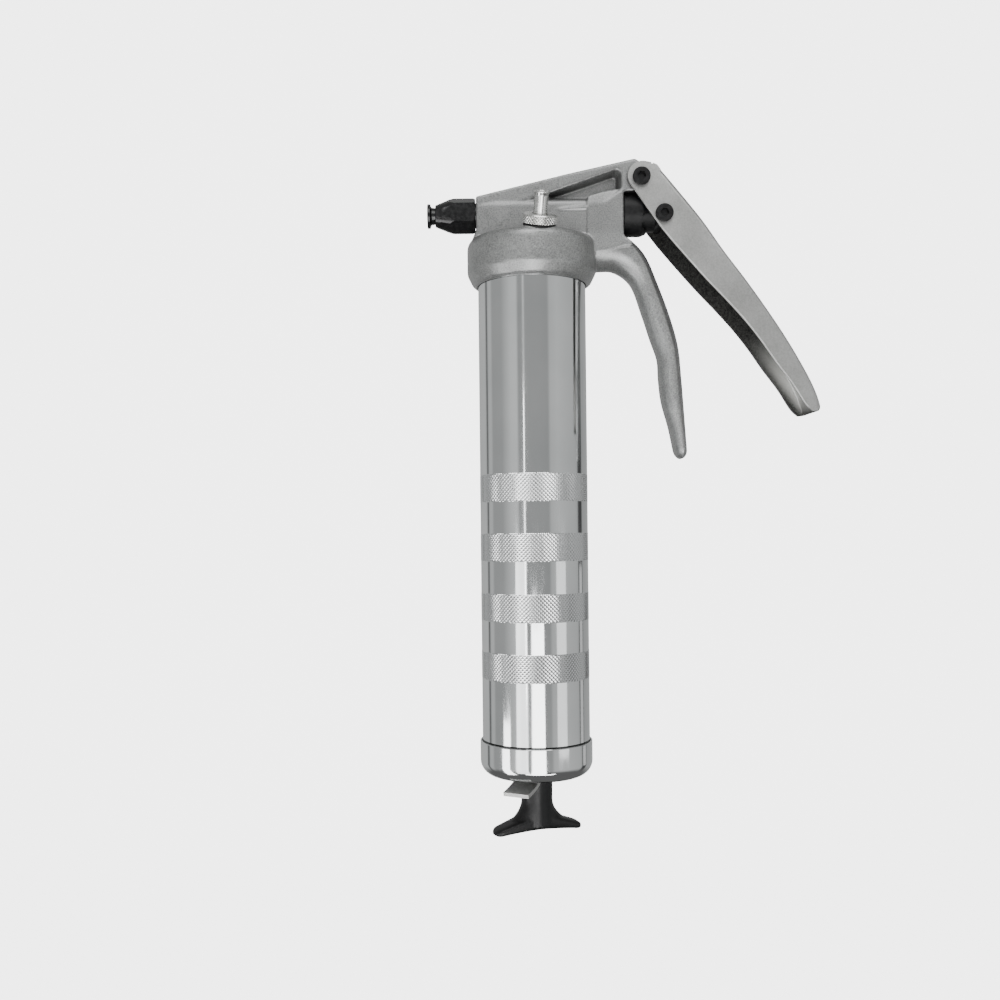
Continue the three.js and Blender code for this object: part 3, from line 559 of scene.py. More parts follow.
def shaded_steel():
    """The channel's inside, near black all over as painted shade, with painted light on it near the tip."""
    n = Nodes("shaded_steel")
    grain = n.noise(1500, 3, 0.7)
    pale_tone = (0.62, 0.62, 0.6)
    # Painted shade: the whole inside is near black, with fine grain.
    scale = n.mix(n.ramp(grain, 0, 1, 0.36, 0.66), (0.015, 0.015, 0.014), (0.1, 0.1, 0.095))
    # Painted light: a pale patch near the tip, where light reaches into the channel.
    lit_towards_tip = n.along((0.62, 0, -0.785), -112, -72)
    towards_back = n.along((0.785, 0, 0.62), 229.5, 236.5)
    n.bump(grain, strength=0.4, distance_mm=0.1)
    return n.set(
        Base_Color=n.tinted(scale, n.math("MULTIPLY", lit_towards_tip, towards_back), pale_tone),
        Metallic=0.7,
        Roughness=n.ramp(grain, 0.4, 0.6),
    )


def black_steel():
    """Black oxide, polished by use on the coupler and satin elsewhere."""
    n = Nodes("black_steel")
    satin = n.along((1, 0, 0), -20, 20)
    spots = n.noise(500, 3, 0.5)
    tint = n.mix(n.ramp(spots, 0, 1), (0.004, 0.004, 0.0045), (0.011, 0.011, 0.0115))
    n.bump(n.noise(1800, 2), strength=0.12, distance_mm=0.04)
    return n.set(
        Base_Color=tint,
        Metallic=0.1,
        Roughness=n.blend(n.ramp(spots, 0.16, 0.26), n.ramp(spots, 0.38, 0.5), satin),
        Specular_IOR_Level=n.blend(0.6, 0.28, satin),
    )


def black_plastic():
    n = Nodes("black_plastic")
    grain = n.noise(1500, 2, 0.5)
    tint = n.mix(n.ramp(n.noise(60, 3), 0, 1), (0.004, 0.004, 0.0045), (0.01, 0.01, 0.0105))
    n.bump(grain, strength=0.15, distance_mm=0.05)
    return n.set(Base_Color=tint, Roughness=n.ramp(grain, 0.36, 0.46), Specular_IOR_Level=0.32)


def nickel():
    n = Nodes("nickel")
    rings = n.noise(260, 3, 0.5, n.stretched((1, 1, 6)))
    tint = n.mix(n.ramp(rings, 0, 1), (0.7, 0.7, 0.68), (0.86, 0.86, 0.84))
    # Painted shade: grooves and inside corners darken by ambient occlusion.
    corner_shaded = n.tinted((0.1, 0.1, 0.095), n.corners(0.8), tint)
    return n.set(Base_Color=corner_shaded, Metallic=1.0, Roughness=n.ramp(rings, 0.2, 0.28))


def spring_steel():
    n = Nodes("spring_steel")
    marks = n.noise(900, 3, 0.6)
    tint = n.mix(n.ramp(marks, 0, 1), (0.2, 0.205, 0.21), (0.32, 0.325, 0.33))
    return n.set(Base_Color=tint, Metallic=1.0, Roughness=n.ramp(marks, 0.28, 0.4))


def brass():
    n = Nodes("brass")
    marks = n.noise(700, 3, 0.6)
    tint = n.mix(n.ramp(marks, 0, 1), (0.48, 0.34, 0.13), (0.6, 0.44, 0.18))
    return n.set(Base_Color=tint, Metallic=1.0, Roughness=n.ramp(marks, 0.22, 0.34))


def rubber():
    n = Nodes("rubber")
    grain = n.noise(1600, 3, 0.6)
    tint = n.mix(n.ramp(grain, 0, 1), (0.014, 0.014, 0.014), (0.024, 0.024, 0.024))
    n.bump(grain, strength=0.2, distance_mm=0.05)
    return n.set(Base_Color=tint, Roughness=n.ramp(grain, 0.6, 0.78))


MATERIALS = {
    make.__name__: make()
    for make in (
        cast_aluminium,
        bright_plate,
        brushed_steel,
        black_steel,
        black_plastic,
        nickel,
        spring_steel,
        brass,
        rubber,
    )
}
SLOTS = {row["node"]: row["material_slot"] for row in frame["record"]["subparts"]}


def finished(obj, body, node):
    """Gives a new piece its CAD node's finish, hides that node and puts the piece on its body."""
    flat_faces_stay_flat(obj)
    finish = SLOTS[node]
    obj.data.materials.clear()
    obj.data.materials.append(MATERIALS[finish])
    for polygon in obj.data.polygons:
        polygon.material_index = 0
    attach(obj, body)
    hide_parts(node)
    return obj


# ======== Head casting ========
# The fixed handle's two outlines in the XZ plane, from its root down to its tip.
HANDLE_PALM_SIDE = smooth_curve([
    (38, 281), (49.5, 279.4), (56.6, 274.1), (60.6, 268.6), (64, 261.2), (71.1, 242.3),
    (76.1, 224.5), (77.9, 206.7), (79.4, 185.9), (80.5, 170),
])
HANDLE_FINGER_SIDE = smooth_curve([
    (24, 264.6), (34.3, 264.2), (43.1, 263.7), (52, 256.7), (57.8, 241), (62.1, 227.6),
    (65.6, 217.2), (66.2, 206.8), (67.6, 194.9), (71.2, 181.6), (73.6, 170),
])


def collar():
    section = filleted([
        (0, COLLAR_LIP_Z), (COLLAR_R - 4.6, COLLAR_LIP_Z, 0.8),
        (COLLAR_R - 2.6, COLLAR_LIP_Z + 1.4, 1.8), (COLLAR_R, COLLAR_LIP_Z + 6.6, 5),
        (COLLAR_R, COLLAR_TOP_Z, 5.2), (0, COLLAR_TOP_Z + 0.6),
    ])
    return turned("collar", section, columns=160)


def pump_body():
    """The pump barrel's block: a slab with a rounded top, a little narrower at the outlet."""
    half_widths = (
        (OUTLET_X, OUTLET_HALF_WIDTH), (-18, 10.2), (0, 11), (16, 11.3), (BOSS_RIGHT_X, 11.3),
    )
    low, top, top_round = PUMP_BOTTOM_Z, PUMP_TOP_Z, 3.6
    rings = []
    for x, half in half_widths:
        outline = filleted([(-half, low), (half, low), (half, top, top_round), (-half, top, top_round)], 8)
        rings.append([(x, p.x, p.y) for p in outline])
    return lofted("pump_body", rings)


def arc(centre_x, centre_z, radius, start, end, steps=16):
    """Points round a circle between two angles in degrees."""
    angles = [math.radians(start + (end - start) * i / steps) for i in range(steps + 1)]
    return [(centre_x + radius * math.cos(a), centre_z + radius * math.sin(a)) for a in angles]


def rib_plan():
    """Seen from above, the rib widens from the outlet to its full width, then runs on past the pivot."""
    left, right = OUTLET_HALF_WIDTH, HEAD_HALF_WIDTH
    full_x, past_x = 20, 70
    return [
        (OUTLET_X, left), (OUTLET_X, -left), (full_x, -right), (past_x, -right), (past_x, right),
        (full_x, right),
    ]


def top_rib():
    outline = [
        (OUTLET_X, PUMP_Z), (OUTLET_X, 302.1), (53.5, 320.0), (58.4, 316.9),
        *arc(PIVOT_X, PIVOT_Z, LUG_R, 66, -70), (54.5, 303.2), (BOSS_RIGHT_X, 303.0),
        (BOSS_RIGHT_X, PUMP_Z),
    ]
    rib = plate_xz("top_rib", outline, HEAD_HALF_WIDTH)
    plan = plate_xy("rib_plan", rib_plan(), PUMP_Z - 10, PUMP_Z + 35.7)
    return boolean(rib, plan, "INTERSECT")


def rib_pocket(side):
    """The hollow in one face of the rib, between its top flange, the boss and the pump body.

    Its walls lean in towards the floor, as the mould's core does.
    """
    depth = 6.0
    # Below, both outlines run on into the stretch that the pump body fills again.
    mouth = [(-7, 299.2), (9.5, 303.4), (25.6, 308.4), (37.1, 312.5), (44.2, 315.0), (46.9, 313.6)]
    mouth += [(46.9, 304.4), (36, 296), (10, 294), (-4, 296)]
    floor = [(-1, 298.6), (10.5, 301.5), (25.8, 306.2), (36.6, 309.9), (42.6, 311.8), (44.2, 310.6)]
    floor += [(44.2, 304.4), (36, 296), (10, 294), (-4, 296)]
    outside = side * (HEAD_HALF_WIDTH + 1)
    inside = side * (HEAD_HALF_WIDTH - depth)
    rings = [[(x, outside, z) for x, z in mouth], [(x, inside, z) for x, z in floor]]
    return lofted("rib_pocket", rings)


def lower_web():
    """The slope from the outlet's face down to the collar."""
    low = HEAD_ROOF_Z - 0.4
    outline = [(-32.6, low), (OUTLET_X, 284.9), (OUTLET_X, PUMP_Z), (0, PUMP_Z), (0, low)]
    return plate_xz("lower_web", outline, 8.5)


def grip_boss():
    """The block round the spring chamber; the upper half of its faces leans in a little."""
    outline = filleted([
        (BOSS_LEFT_X, 271.5), (38, 272.5), (46, 274.8), (52.2, 275.2), (52, 277, 1),
        (BOSS_RIGHT_X, 280.4, 0.6), (BOSS_RIGHT_X, 304.9), (37, 303.3, 3),
        (BOSS_LEFT_X, 301.2, 2.4),
    ])
    block = plate_xz("grip_boss", outline, HEAD_HALF_WIDTH + 1)
    crease_z, lean = 296.8, 1.1
    half = HEAD_HALF_WIDTH
    side = [(half, 255), (half, crease_z), (half - lean, 306), (half - lean, 320)]
    side = [(-y, z) for y, z in side] + side[::-1]
    left = [(BOSS_LEFT_X - 2, y, z) for y, z in side]
    right = [(70, y, z) for y, z in side]
    return boolean(block, lofted("boss_side", [left, right]), "INTERSECT")


def handle_section(finger, palm, half_width, flat_end, palm_width):
    """One cut through the handle: round on the finger side, then flat, then leaning in to the palm side."""
    across = palm - finger
    round_end = 0.6
    arc_steps = 12
    profile = []
    for step in range(arc_steps + 1):
        angle = math.pi / 2 * step / arc_steps
        profile.append((round_end * (1 - math.cos(angle)), math.sin(angle)))
    profile += [(flat_end, 1.0), ((flat_end + 1) / 2, (1 + palm_width) / 2 + 0.04), (1.0, palm_width)]
    ring = []
    for share, width in profile + [(s, -w) for s, w in reversed(profile[1:])]:
        point = finger + across * share
        ring.append((point.x, -half_width * width, point.y))
    return ring


def fixed_handle():
    """The handle tapers a little, is as wide as the head at its root and rounds off at its tip."""
    stations, root_stations = 60, 18
    taper, tip_length, tip_steps = 1.6, 5.2, 6
    flat_end, palm_width = 0.72, 0.5
    finger = even_points(HANDLE_FINGER_SIDE, stations)
    palm = even_points(HANDLE_PALM_SIDE, stations)
    rings = []
    for i, (f, p) in enumerate(zip(finger, palm)):
        root = 1 - smooth_step(i / root_stations)
        half_width = HANDLE_HALF_WIDTH - taper * (i / stations) ** 2
        half_width += (HEAD_HALF_WIDTH - HANDLE_HALF_WIDTH) * root
        rings.append(handle_section(f, p, half_width, flat_end + 0.2 * root, palm_width + 0.35 * root))
    last_finger, last_palm = finger[-1], palm[-1]
    middle = (last_finger + last_palm) / 2
    down = (middle - (finger[-2] + palm[-2]) / 2).normalized()
    for step in range(1, tip_steps + 1):
        angle = math.pi / 2 * step / tip_steps * 0.96
        shift = down * tip_length * math.sin(angle)
        squeeze = math.cos(angle)
        f = middle + (last_finger - middle) * squeeze + shift
        p = middle + (last_palm - middle) * squeeze + shift
        half_width = (HANDLE_HALF_WIDTH - taper) * (0.35 + 0.65 * squeeze)
        rings.append(handle_section(f, p, half_width, flat_end, palm_width))
    return lofted("fixed_handle", rings)


def smooth_step(share):
    share = min(max(share, 0), 1)
    return share * share * (3 - 2 * share)


def valve_boss():
    return turned("valve_boss", disk(10.6, -16, VALVE_FACE), VALVE_AXIS, columns=64)


def head_casting():
    rib = top_rib()
    for side in (-1, 1):
        boolean(rib, rib_pocket(side), "DIFFERENCE")
    parts = [collar(), pump_body(), rib, lower_web(), grip_boss(), fixed_handle(), valve_boss()]
    casting = remeshed(merged("casting", parts), voxel=0.55, smoothing=5)
    # Barrel skirt, pump bore, spring chamber, cup's thread, its way out, grease inlet, valve seat, bleed
    # hole, valve's spot face and pivot hole, in that order.
    skirt_low, chamber_r, thread_r, notch_r, spot_r = 240, 10.2, 11.2, 12.0, 9.3
    bored(casting, BARREL_R + CLEARANCE, skirt_low, HEAD_ROOF_Z, columns=160)
    bored(casting, LINER_R + CLEARANCE, OUTLET_X - 1, 31, PUMP_AXIS)
    bored(casting, chamber_r, 30, BOSS_RIGHT_X + 1.4, PUMP_AXIS)
    bored(casting, thread_r, 40, BOSS_RIGHT_X + 1.4, PUMP_AXIS)
    bored(casting, notch_r, BOSS_RIGHT_X, 80, PUMP_AXIS)
    bored(casting, INLET_R, HEAD_ROOF_Z - 1.4, PUMP_Z, INLET_AXIS, 32)
    bored(casting, 4.9, -5.5, 1, VALVE_AXIS, 48)
    bored(casting, 1.4, -12, 0, VALVE_AXIS, 32)
    bored(casting, spot_r, VALVE_FACE, 30, VALVE_AXIS, 64)
    bored(casting, PIN_R + CLEARANCE, -20, 20, along_y(PIVOT_X, PIVOT_Z), 48)
    shade(casting, 38)
    return finished(casting, "head", "head_casting")


def along_y(x, z, y=0.0):
    """Local +Z leads away from the viewer, along +Y."""
    return Matrix.Translation((x, y, z)) @ Matrix.Rotation(-math.pi / 2, 4, "X")


# ======== Outlet coupler, spring cup and plunger ========
CONE_START_X = -40.8
CONE_END_X = -50.4
CONE_TIP_R = 5.6
COUPLER_HEX = 16.4
COUPLER_BORE_R = 4.6
TIP_X = -54.6


def coupler_body():
    corner = COUPLER_HEX / math.sqrt(3)
    right = OUTLET_X - CLEARANCE
    bar = hex_bar("coupler_body", COUPLER_HEX, CONE_END_X, right, PUMP_AXIS)
    outside = turned(
        "coupler_cone",
        filleted([
            (0, CONE_END_X), (CONE_TIP_R, CONE_END_X, 0.5), (corner - 0.1, CONE_START_X, 1.5),
            (corner + 0.2, CONE_START_X + 3.4), (corner + 0.2, right - 1.4),
            (corner - 1.0, right, 0.3), (0, right),
        ]),
        PUMP_AXIS,
        columns=128,
    )
    boolean(bar, outside, "INTERSECT")
    bevelled(bar, 0.25, 2, 40)
    shank = turned("coupler_shank", disk(6.5, OUTLET_X - 2, -21.8), PUMP_AXIS)
    boolean(bar, shank, "UNION")
    bored(bar, COUPLER_BORE_R, CONE_END_X - 1, -38.2, PUMP_AXIS)
    bored(bar, 2.2, -40, -20, PUMP_AXIS)
    shade(bar, 28)
    return finished(bar, "head", "coupler_body")


def coupler_mouthpiece():
    inner, flange, sleeve, end = 3.3, 6.3, COUPLER_BORE_R - CLEARANCE, -46.7
    section = filleted([
        (inner, TIP_X, 0.5), (flange, TIP_X, 0.4), (flange, TIP_X + 1.5, 0.3),
        (4.5, TIP_X + 2.2, 0.5), (sleeve, CONE_END_X - 0.2), (sleeve, end), (inner, end),
    ])
    return finished(turned("coupler_mouth", section, PUMP_AXIS), "head", "coupler_mouthpiece")


def coupler_jaws():
    """One sleeve, slit into three jaws that stay joined at its end."""
    section = ring_section(3.2, COUPLER_BORE_R - CLEARANCE, -46.4, -41.9)
    ring = turned("jaws", section, PUMP_AXIS)
    half_slot = 0.45
    slot = [(2, -half_slot), (6, -half_slot), (6, half_slot), (2, half_slot)]
    for i in range(3):
        turn = PUMP_AXIS @ Matrix.Rotation(2 * math.pi * i / 3, 4, "Z")
        boolean(ring, plate_xy("slot", slot, -48, -42.5, turn), "DIFFERENCE")
    shade(ring, 32)
    return finished(ring, "head", "coupler_jaws")


def coupler_seal():
    section = ring_section(1.3, COUPLER_BORE_R - CLEARANCE, -41.6, -38.5, 0.3, 0.3)
    return finished(turned("lip_seal", section, PUMP_AXIS, 64), "head", "coupler_seal")


def gland_cup():
    """The spring cup, notched on both sides for the link pin, which nears it as the lever closes."""
    left, right, outer = BOSS_RIGHT_X + CLEARANCE, 60.4, 11.7
    section = filleted([
        (10, 40.3), (10.9, 40.3), (10.9, left), (outer, left, 0.5), (outer, right - 2.9, 1.5),
        (10.5, right, 0.4), (9.9, right), (9.9, right - 1), (10, right - 1),
    ])
    cup = turned("spring_cup", section, PUMP_AXIS, 128)
    closed = LINK_ANGLE - LEVER_TRAVEL
    pin_x = PIVOT_X + LINK_RADIUS * math.sin(closed)
    pin_z = PIVOT_Z - LINK_RADIUS * math.cos(closed) + 0.4
    notch_r = PIN_R + 0.8
    notch = arc(pin_x, pin_z, notch_r, 90, 270, 20)
    notch += [(right + 6, pin_z - notch_r), (right + 6, pin_z + notch_r)]
    boolean(cup, plate_xz("notch", notch, 20), "DIFFERENCE")
    shade(cup, 32)
    return finished(cup, "head", "gland_cup")


def plunger():
    """A rod with a crosshead, whose slot for the link pin is open below."""
    tip, shoulder, crosshead_r, back = 8.5, 54, 9.4, 74
    section = filleted([
        (0, tip), (PLUNGER_R, tip, 0.5), (PLUNGER_R, shoulder), (crosshead_r, shoulder, 0.6),
        (crosshead_r, back - 6, 1.0), (5.5, back, 1.0), (0, back),
    ])
    rod = turned("plunger_rod", section, PUMP_AXIS, columns=96)
    half = PIN_R + 0.4
    open_z = 250
    outline = [(LINK_X - half, open_z), (LINK_X + half, open_z), *arc(LINK_X, LINK_Z, half, 0, 180, 24)]
    boolean(rod, plate_xz("slot", outline, 20), "DIFFERENCE")
    bevelled(rod, 0.3, 2, 40)
    return finished(rod, "plunger", "plunger")


# ======== Lever ========
# The channel's back, from the pivot end to the tip, and the free edges of its sides.
LEVER_BACK = smooth_curve([
    (66.3, 314.2), (74.6, 304.2), (87.9, 287.5), (98.7, 271.9), (110.4, 256.2), (121.3, 240.6),
    (131.4, 225), (140.3, 209.4), (145.3, 199), (147.9, 190.9), (147.2, 188.3),
])
LEVER_FRONT = smooth_curve([
    (51.1, 305.6), (64.6, 286.1), (72, 276.7), (80.8, 266.4), (90, 256), (99.6, 245.8),
    (109, 235.2), (117.2, 224.6), (124.8, 213.5), (132.9, 202.6), (139.6, 191.9), (143.6, 188),
])


def channel_section(back, front):
    """The bent sheet cut across: outside, round both bends, then back along the inside."""
    depth = (front - back).length
    inward = (front - back) / depth
    outer, inner = LEVER_HALF_WIDTH, LEVER_HALF_WIDTH - LEVER_SHEET
    inner_bend = LEVER_BEND_R - LEVER_SHEET
    edge = 0.5
    profile = [(depth - edge, outer), (depth, outer - edge), (depth, inner + edge), (depth - edge, inner)]
    bend_steps = 6
    inside = []
    outside = []
    for step in range(bend_steps + 1):
        angle = math.pi / 2 * step / bend_steps
        c, s = math.cos(angle), math.sin(angle)
        inside.append((LEVER_BEND_R - inner_bend * s, inner - inner_bend + inner_bend * c))
        outside.append((LEVER_BEND_R - LEVER_BEND_R * c, outer - LEVER_BEND_R + LEVER_BEND_R * s))
    half = profile + inside
    mirrored = [(d, -w) for d, w in reversed(half)]
    far_side = [(d, -w) for d, w in outside[::-1]]
    ring = half + mirrored + far_side + outside
    return [at_depth(back + inward * d, w) for d, w in ring]


def at_depth(point, y):
    """A point of the XZ plane moved to depth y."""
    return point.x, y, point.y


def faces_inwards(polygon):
    """Whether a face of the lever gets the channel's painted shade: a face of its inside, or an edge of its
    far side facing the handle.
    """
    centre, normal = polygon.center / MM, polygon.normal
    to_the_middle = -normal.y * math.copysign(1, centre.y)
    towards_handle = Vector((-0.78, -0.62))
    to_the_front = Vector((normal.x, normal.z)).dot(towards_handle)
    if abs(centre.y) > LEVER_HALF_WIDTH - LEVER_SHEET + 0.1:
        return centre.y > 0 and to_the_front > 0.5
    return to_the_middle > 0.5 or to_the_front > 0.3


def lever():
    stations = 110
    back = even_points(LEVER_BACK, stations)
    front = even_points(LEVER_FRONT, stations)
    rings = [channel_section(b, f) for b, f in zip(back, front)]
    channel = lofted("lever_channel", rings, sharp_angle=30)
    end = [
        *arc(LEVER_END_X, LEVER_END_Z, LEVER_END_R, 214, 75, 24), (61.5, 317.05), (61.7, 316.3),
        (62.3, 316.2), (62.5, 316.75), (64.7, 315.7, 1.2), (66.5, 313.2), (58, 303),
    ]
    for side in (-1, 1):
        cheek = plate_xz("cheek", filleted(end), LEVER_SHEET / 2 - 0.02)
        middle = LEVER_HALF_WIDTH - LEVER_SHEET / 2
        cheek.data.transform(Matrix.Translation((0, side * middle * MM, 0)))
        boolean(channel, cheek, "UNION")
    for x, z in ((PIVOT_X, PIVOT_Z), (LINK_X, LINK_Z)):
        bored(channel, PIN_R + CLEARANCE, -20, 20, along_y(x, z), 48)
    shade(channel, 30)
    finished(channel, "lever", "lever")
    # The channel's inside and the far side's edges facing the handle get painted shade, with painted light
    # near the tip.
    channel.data.materials.append(shaded_steel())
    for polygon in channel.data.polygons:
        if faces_inwards(polygon):
            polygon.material_index = 1
    return channel


PIN_HEAD_R = 4.55
PIN_HEAD_HEIGHT = 2.2
PIN_END_Y = 18.4
SOCKET_FLATS = 4.0
SOCKET_DEPTH = 1.7
SOCKET_TURN = math.radians(10)


def socket_pin(name, node, x, z):
    head_y = -LEVER_HALF_WIDTH - PIN_HEAD_HEIGHT - CLEARANCE
    section = filleted([
        (0, 0), (PIN_HEAD_R, 0, 0.5), (PIN_HEAD_R, PIN_HEAD_HEIGHT, 0.2),
        (PIN_R, PIN_HEAD_HEIGHT), (PIN_R, PIN_END_Y - head_y, 0.4), (0, PIN_END_Y - head_y),
    ])
    place = along_y(x, z, head_y)
    pin = turned(name, section, place, columns=64)
    boolean(pin, hex_bar("socket", SOCKET_FLATS, -1, SOCKET_DEPTH, place, SOCKET_TURN), "DIFFERENCE")
    bevelled(pin, 0.12, 2, 50)
    return finished(pin, "lever", node)


# A flat of each nut runs along the lever's front edge.
NUT_TURN = math.radians(-5)
NUT_FLATS = 8.4
NUT_HEIGHT = 3.4


def hex_nut(name, node, x, z):
    place = along_y(x, z, LEVER_HALF_WIDTH + CLEARANCE)
    nut = hex_bar(name, NUT_FLATS, 0, NUT_HEIGHT, place, NUT_TURN)
    corner = NUT_FLATS / math.sqrt(3)
    chamfers = [
        (0, 0), (corner - 0.5, 0), (corner + 0.1, 0.5), (corner + 0.1, NUT_HEIGHT - 0.6),
        (corner - 0.7, NUT_HEIGHT), (0, NUT_HEIGHT),
    ]
    boolean(nut, turned("chamfer", chamfers, place), "INTERSECT")
    bored(nut, PIN_R + 0.02, -1, 6, place, 64)
    bevelled(nut, 0.15, 2, 40)
    return finished(nut, "lever", node)


# ======== Barrel and cap ========
def barrel():
    section = [(BARREL_BORE_R, BARREL_BOTTOM_Z), (BARREL_R, BARREL_BOTTOM_Z)]
    pitch = 2 * math.pi * BARREL_R / (BAND_COLUMNS / 4)
    for centre in BAND_CENTRES_Z:
        low, high = centre - BAND_HEIGHT / 2, centre + BAND_HEIGHT / 2
        section.append((BARREL_R, low - 0.25))
        section += knurled_rows(BARREL_R, low, high, pitch)
        section.append((BARREL_R, high + 0.25))
    section += [(BARREL_R, BARREL_TOP_Z), (BARREL_BORE_R, BARREL_TOP_Z)]
    tube = turned("barrel", section, columns=BAND_COLUMNS, relief=BAND_RELIEF, sharp_angle=12)
    return finished(tube, "barrel", "barrel_tube")


def barrel_cap():
    inner = BARREL_R + CLEARANCE
    hole_r, sheet = 6.3, 1.5
    section = filleted(
        [
            (hole_r, RECESS_ROOF_Z), (RECESS_R, RECESS_ROOF_Z, 1.0), (RECESS_R, 0, 1.0),
            (CAP_R, 0, CAP_CORNER_R), (CAP_R, CAP_HEIGHT, 0.45), (inner, CAP_HEIGHT, 0.3),
            (inner, 4.7), (24.4, 2), (RECESS_R + sheet, 2),
            (RECESS_R + sheet, RECESS_ROOF_Z + sheet, 1.0), (hole_r, RECESS_ROOF_Z + sheet),
        ],
        arc_steps=10,
    )
    return finished(turned("cap", section, columns=160), "barrel", "barrel_cap")


def rod_bush():
    low, top = RECESS_ROOF_Z + 0.2, RECESS_ROOF_Z + 1.8
    section = filleted(
        [(3.9, low), (6, low), (6, top), (9, top, 0.2), (9, top + 1.5, 0.3), (3.9, top + 1.5, 0.3)]
    )
    return finished(turned("bush", section, columns=64), "barrel", "rod_bush")


def head_gasket():
    section = ring_section(24.5, 28.2, BARREL_TOP_Z + 0.3, HEAD_ROOF_Z - 0.3, 0.4, 0.4)
    return finished(turned("gasket", section, columns=128), "head", "head_gasket")


# ======== Rod, T-handle and follower ========
def follower_rod():
    section = filleted([(0, -17), (ROD_R, -17, 0.5), (ROD_R, 252, 0.6), (0, 252)])
    rod = turned("rod", section, columns=64)
    bored(rod, HANDLE_PIN_HOLE_R, -10, 10, wing_cross(HANDLE_PIN_Z), 32)
    shade(rod, 32)
    return finished(rod, "follower", "follower_rod")


def wing_cross(z):
    """Local +Z lies level, across the T-handle's wings."""
    return Matrix.Rotation(WING_TURN, 4, "Z") @ along_y(0, z)


def handle_pin():
    radius, half = HANDLE_PIN_HOLE_R - CLEARANCE, 7.5
    section = filleted([(0, -half), (radius, -half, 0.3), (radius, half, 0.3), (0, half)])
    return finished(turned("cross_pin", section, wing_cross(HANDLE_PIN_Z), 32), "follower", "handle_pin")


WING_TOP_Z, WING_BOTTOM_Z = -17.5, -29.4
WING_FALL, WING_DROOP = 10.2, 2.0  # how far the top and the bottom sink by the tip
WING_HALF_WIDTH, WING_TAPER = 7.2, 2.2
WING_ROUND = 0.14  # the share of the reach in which the tip rounds off


def wing_section(u):
    """The wings cut across at u millimetres from the rod: an oval that thins and droops to the tips."""
    share = min(abs(u) / WING_REACH, 1.0)
    top = WING_TOP_Z - WING_FALL * share ** 0.8
    bottom = WING_BOTTOM_Z - WING_DROOP * share ** 2
    round_off = math.sqrt(max(1 - max(share + WING_ROUND - 1, 0) ** 2 / WING_ROUND ** 2, 0.05))
    half_height = (top - bottom) / 2 * round_off
    half_width = (WING_HALF_WIDTH - WING_TAPER * share ** 2) * round_off
    middle = (top + bottom) / 2
    flat = 0.62  # below 1 the oval is squarer
    ring = []
    for step in range(24):
        angle = 2 * math.pi * step / 24
        c, s = math.cos(angle), math.sin(angle)
        y = half_width * math.copysign(abs(c) ** flat, c)
        z = middle + half_height * math.copysign(abs(s) ** flat, s)
        ring.append((u, y, z))
    return ring


def t_handle():
    """Two wings and a stem, melted into one moulding through a flare between them."""
    place = Matrix.Rotation(WING_TURN, 4, "Z")
    stations = [WING_REACH * math.sin(math.pi / 2 * i / 24) for i in range(-24, 25)]
    wings = lofted("wings", [wing_section(u) for u in stations], place)
    stem_profile = filleted([(0, -27), (8.6, -27), (8.2, -14, 4), (8.3, -2, 1.2), (0, -2)])
    stem = turned("stem", stem_profile, place, columns=96)
    root = []
    root_steps = 12
    for step in range(root_steps + 1):
        share = step / root_steps
        z = -24 + 11 * share
        swell = 8.2 + 6.5 * (1 - share) ** 2.2
        depth = 7.6 + 0.6 * share
        ring = []
        for side in range(48):
            angle = 2 * math.pi * side / 48
            ring.append((swell * math.cos(angle), depth * math.sin(angle), z))
        root.append(ring)
    flare = lofted("flare", root, place)
    handle = remeshed(merged("tee", [wings, stem, flare]), voxel=0.45, smoothing=8)
    bored(handle, ROD_R + CLEARANCE, -17.5, 2, columns=48)
    bored(handle, HANDLE_PIN_HOLE_R, -7.8, 12, wing_cross(HANDLE_PIN_Z), 32)
    shade(handle, 40)
    return finished(handle, "follower", "t_handle")


def follower():
    """The stack at the rod's upper end: plate, rubber cup, washer and nut, with a clearance between them."""
    inner = ROD_R + CLEARANCE
    plate_z, plate_top = 236, 238
    plate = filleted(
        [(inner, plate_z), (22, plate_z), (23, plate_z + 0.9, 0.4), (23, plate_top, 0.3), (inner, plate_top)]
    )
    finished(turned("spring_plate", plate, columns=96), "follower", "follower_plate")
    base = plate_top + CLEARANCE
    lip = filleted([
        (inner, base), (24.5, base, 0.8), (26.6, base + 11, 0.4), (25, base + 11, 0.4),
        (22.6, base + 3, 1.0), (inner, base + 3),
    ])
    finished(turned("cup_seal", lip, columns=96), "follower", "follower_cup")
    washer_z, washer_top = 241.6, 243.1
    washer = filleted([(inner, washer_z), (10, washer_z, 0.2), (10, washer_top, 0.4), (inner, washer_top)])
    finished(turned("washer", washer, columns=64), "follower", "follower_washer")
    nut = hex_bar("rod_nut", 13, washer_top + CLEARANCE, 248.9)
    bored(nut, inner, washer_top - 1.1, 250, columns=48)
    bevelled(nut, 0.4, 2, 40)
    finished(nut, "follower", "follower_nut")


def springs():
    """The springs, each with a mesh of its own."""
    rear = finished(coil("rear_spring", 20, 2, 11, 2.3, 235.7), "barrel", "follower_spring")
    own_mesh(rear)
    back = finished(coil("pump_spring", 8, 1.6, 6, 30.3, 53.7, PUMP_AXIS), "head", "return_spring")
    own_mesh(back)
    ball_end = -11.65
    check = finished(coil("outlet_spring", 2.6, 0.8, 5, -21.5, ball_end, PUMP_AXIS), "head", "check_spring")
    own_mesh(check)
    grip = finished(coil("tab_spring", 6.2, 0.8, 2, 3.7, 6.7), "barrel", "latch_spring")
    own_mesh(grip)
    vent = finished(coil("vent_spring", 2, 0.6, 2.5, -3.9, -0.5, VALVE_AXIS), "head", "valve_spring")
    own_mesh(vent)


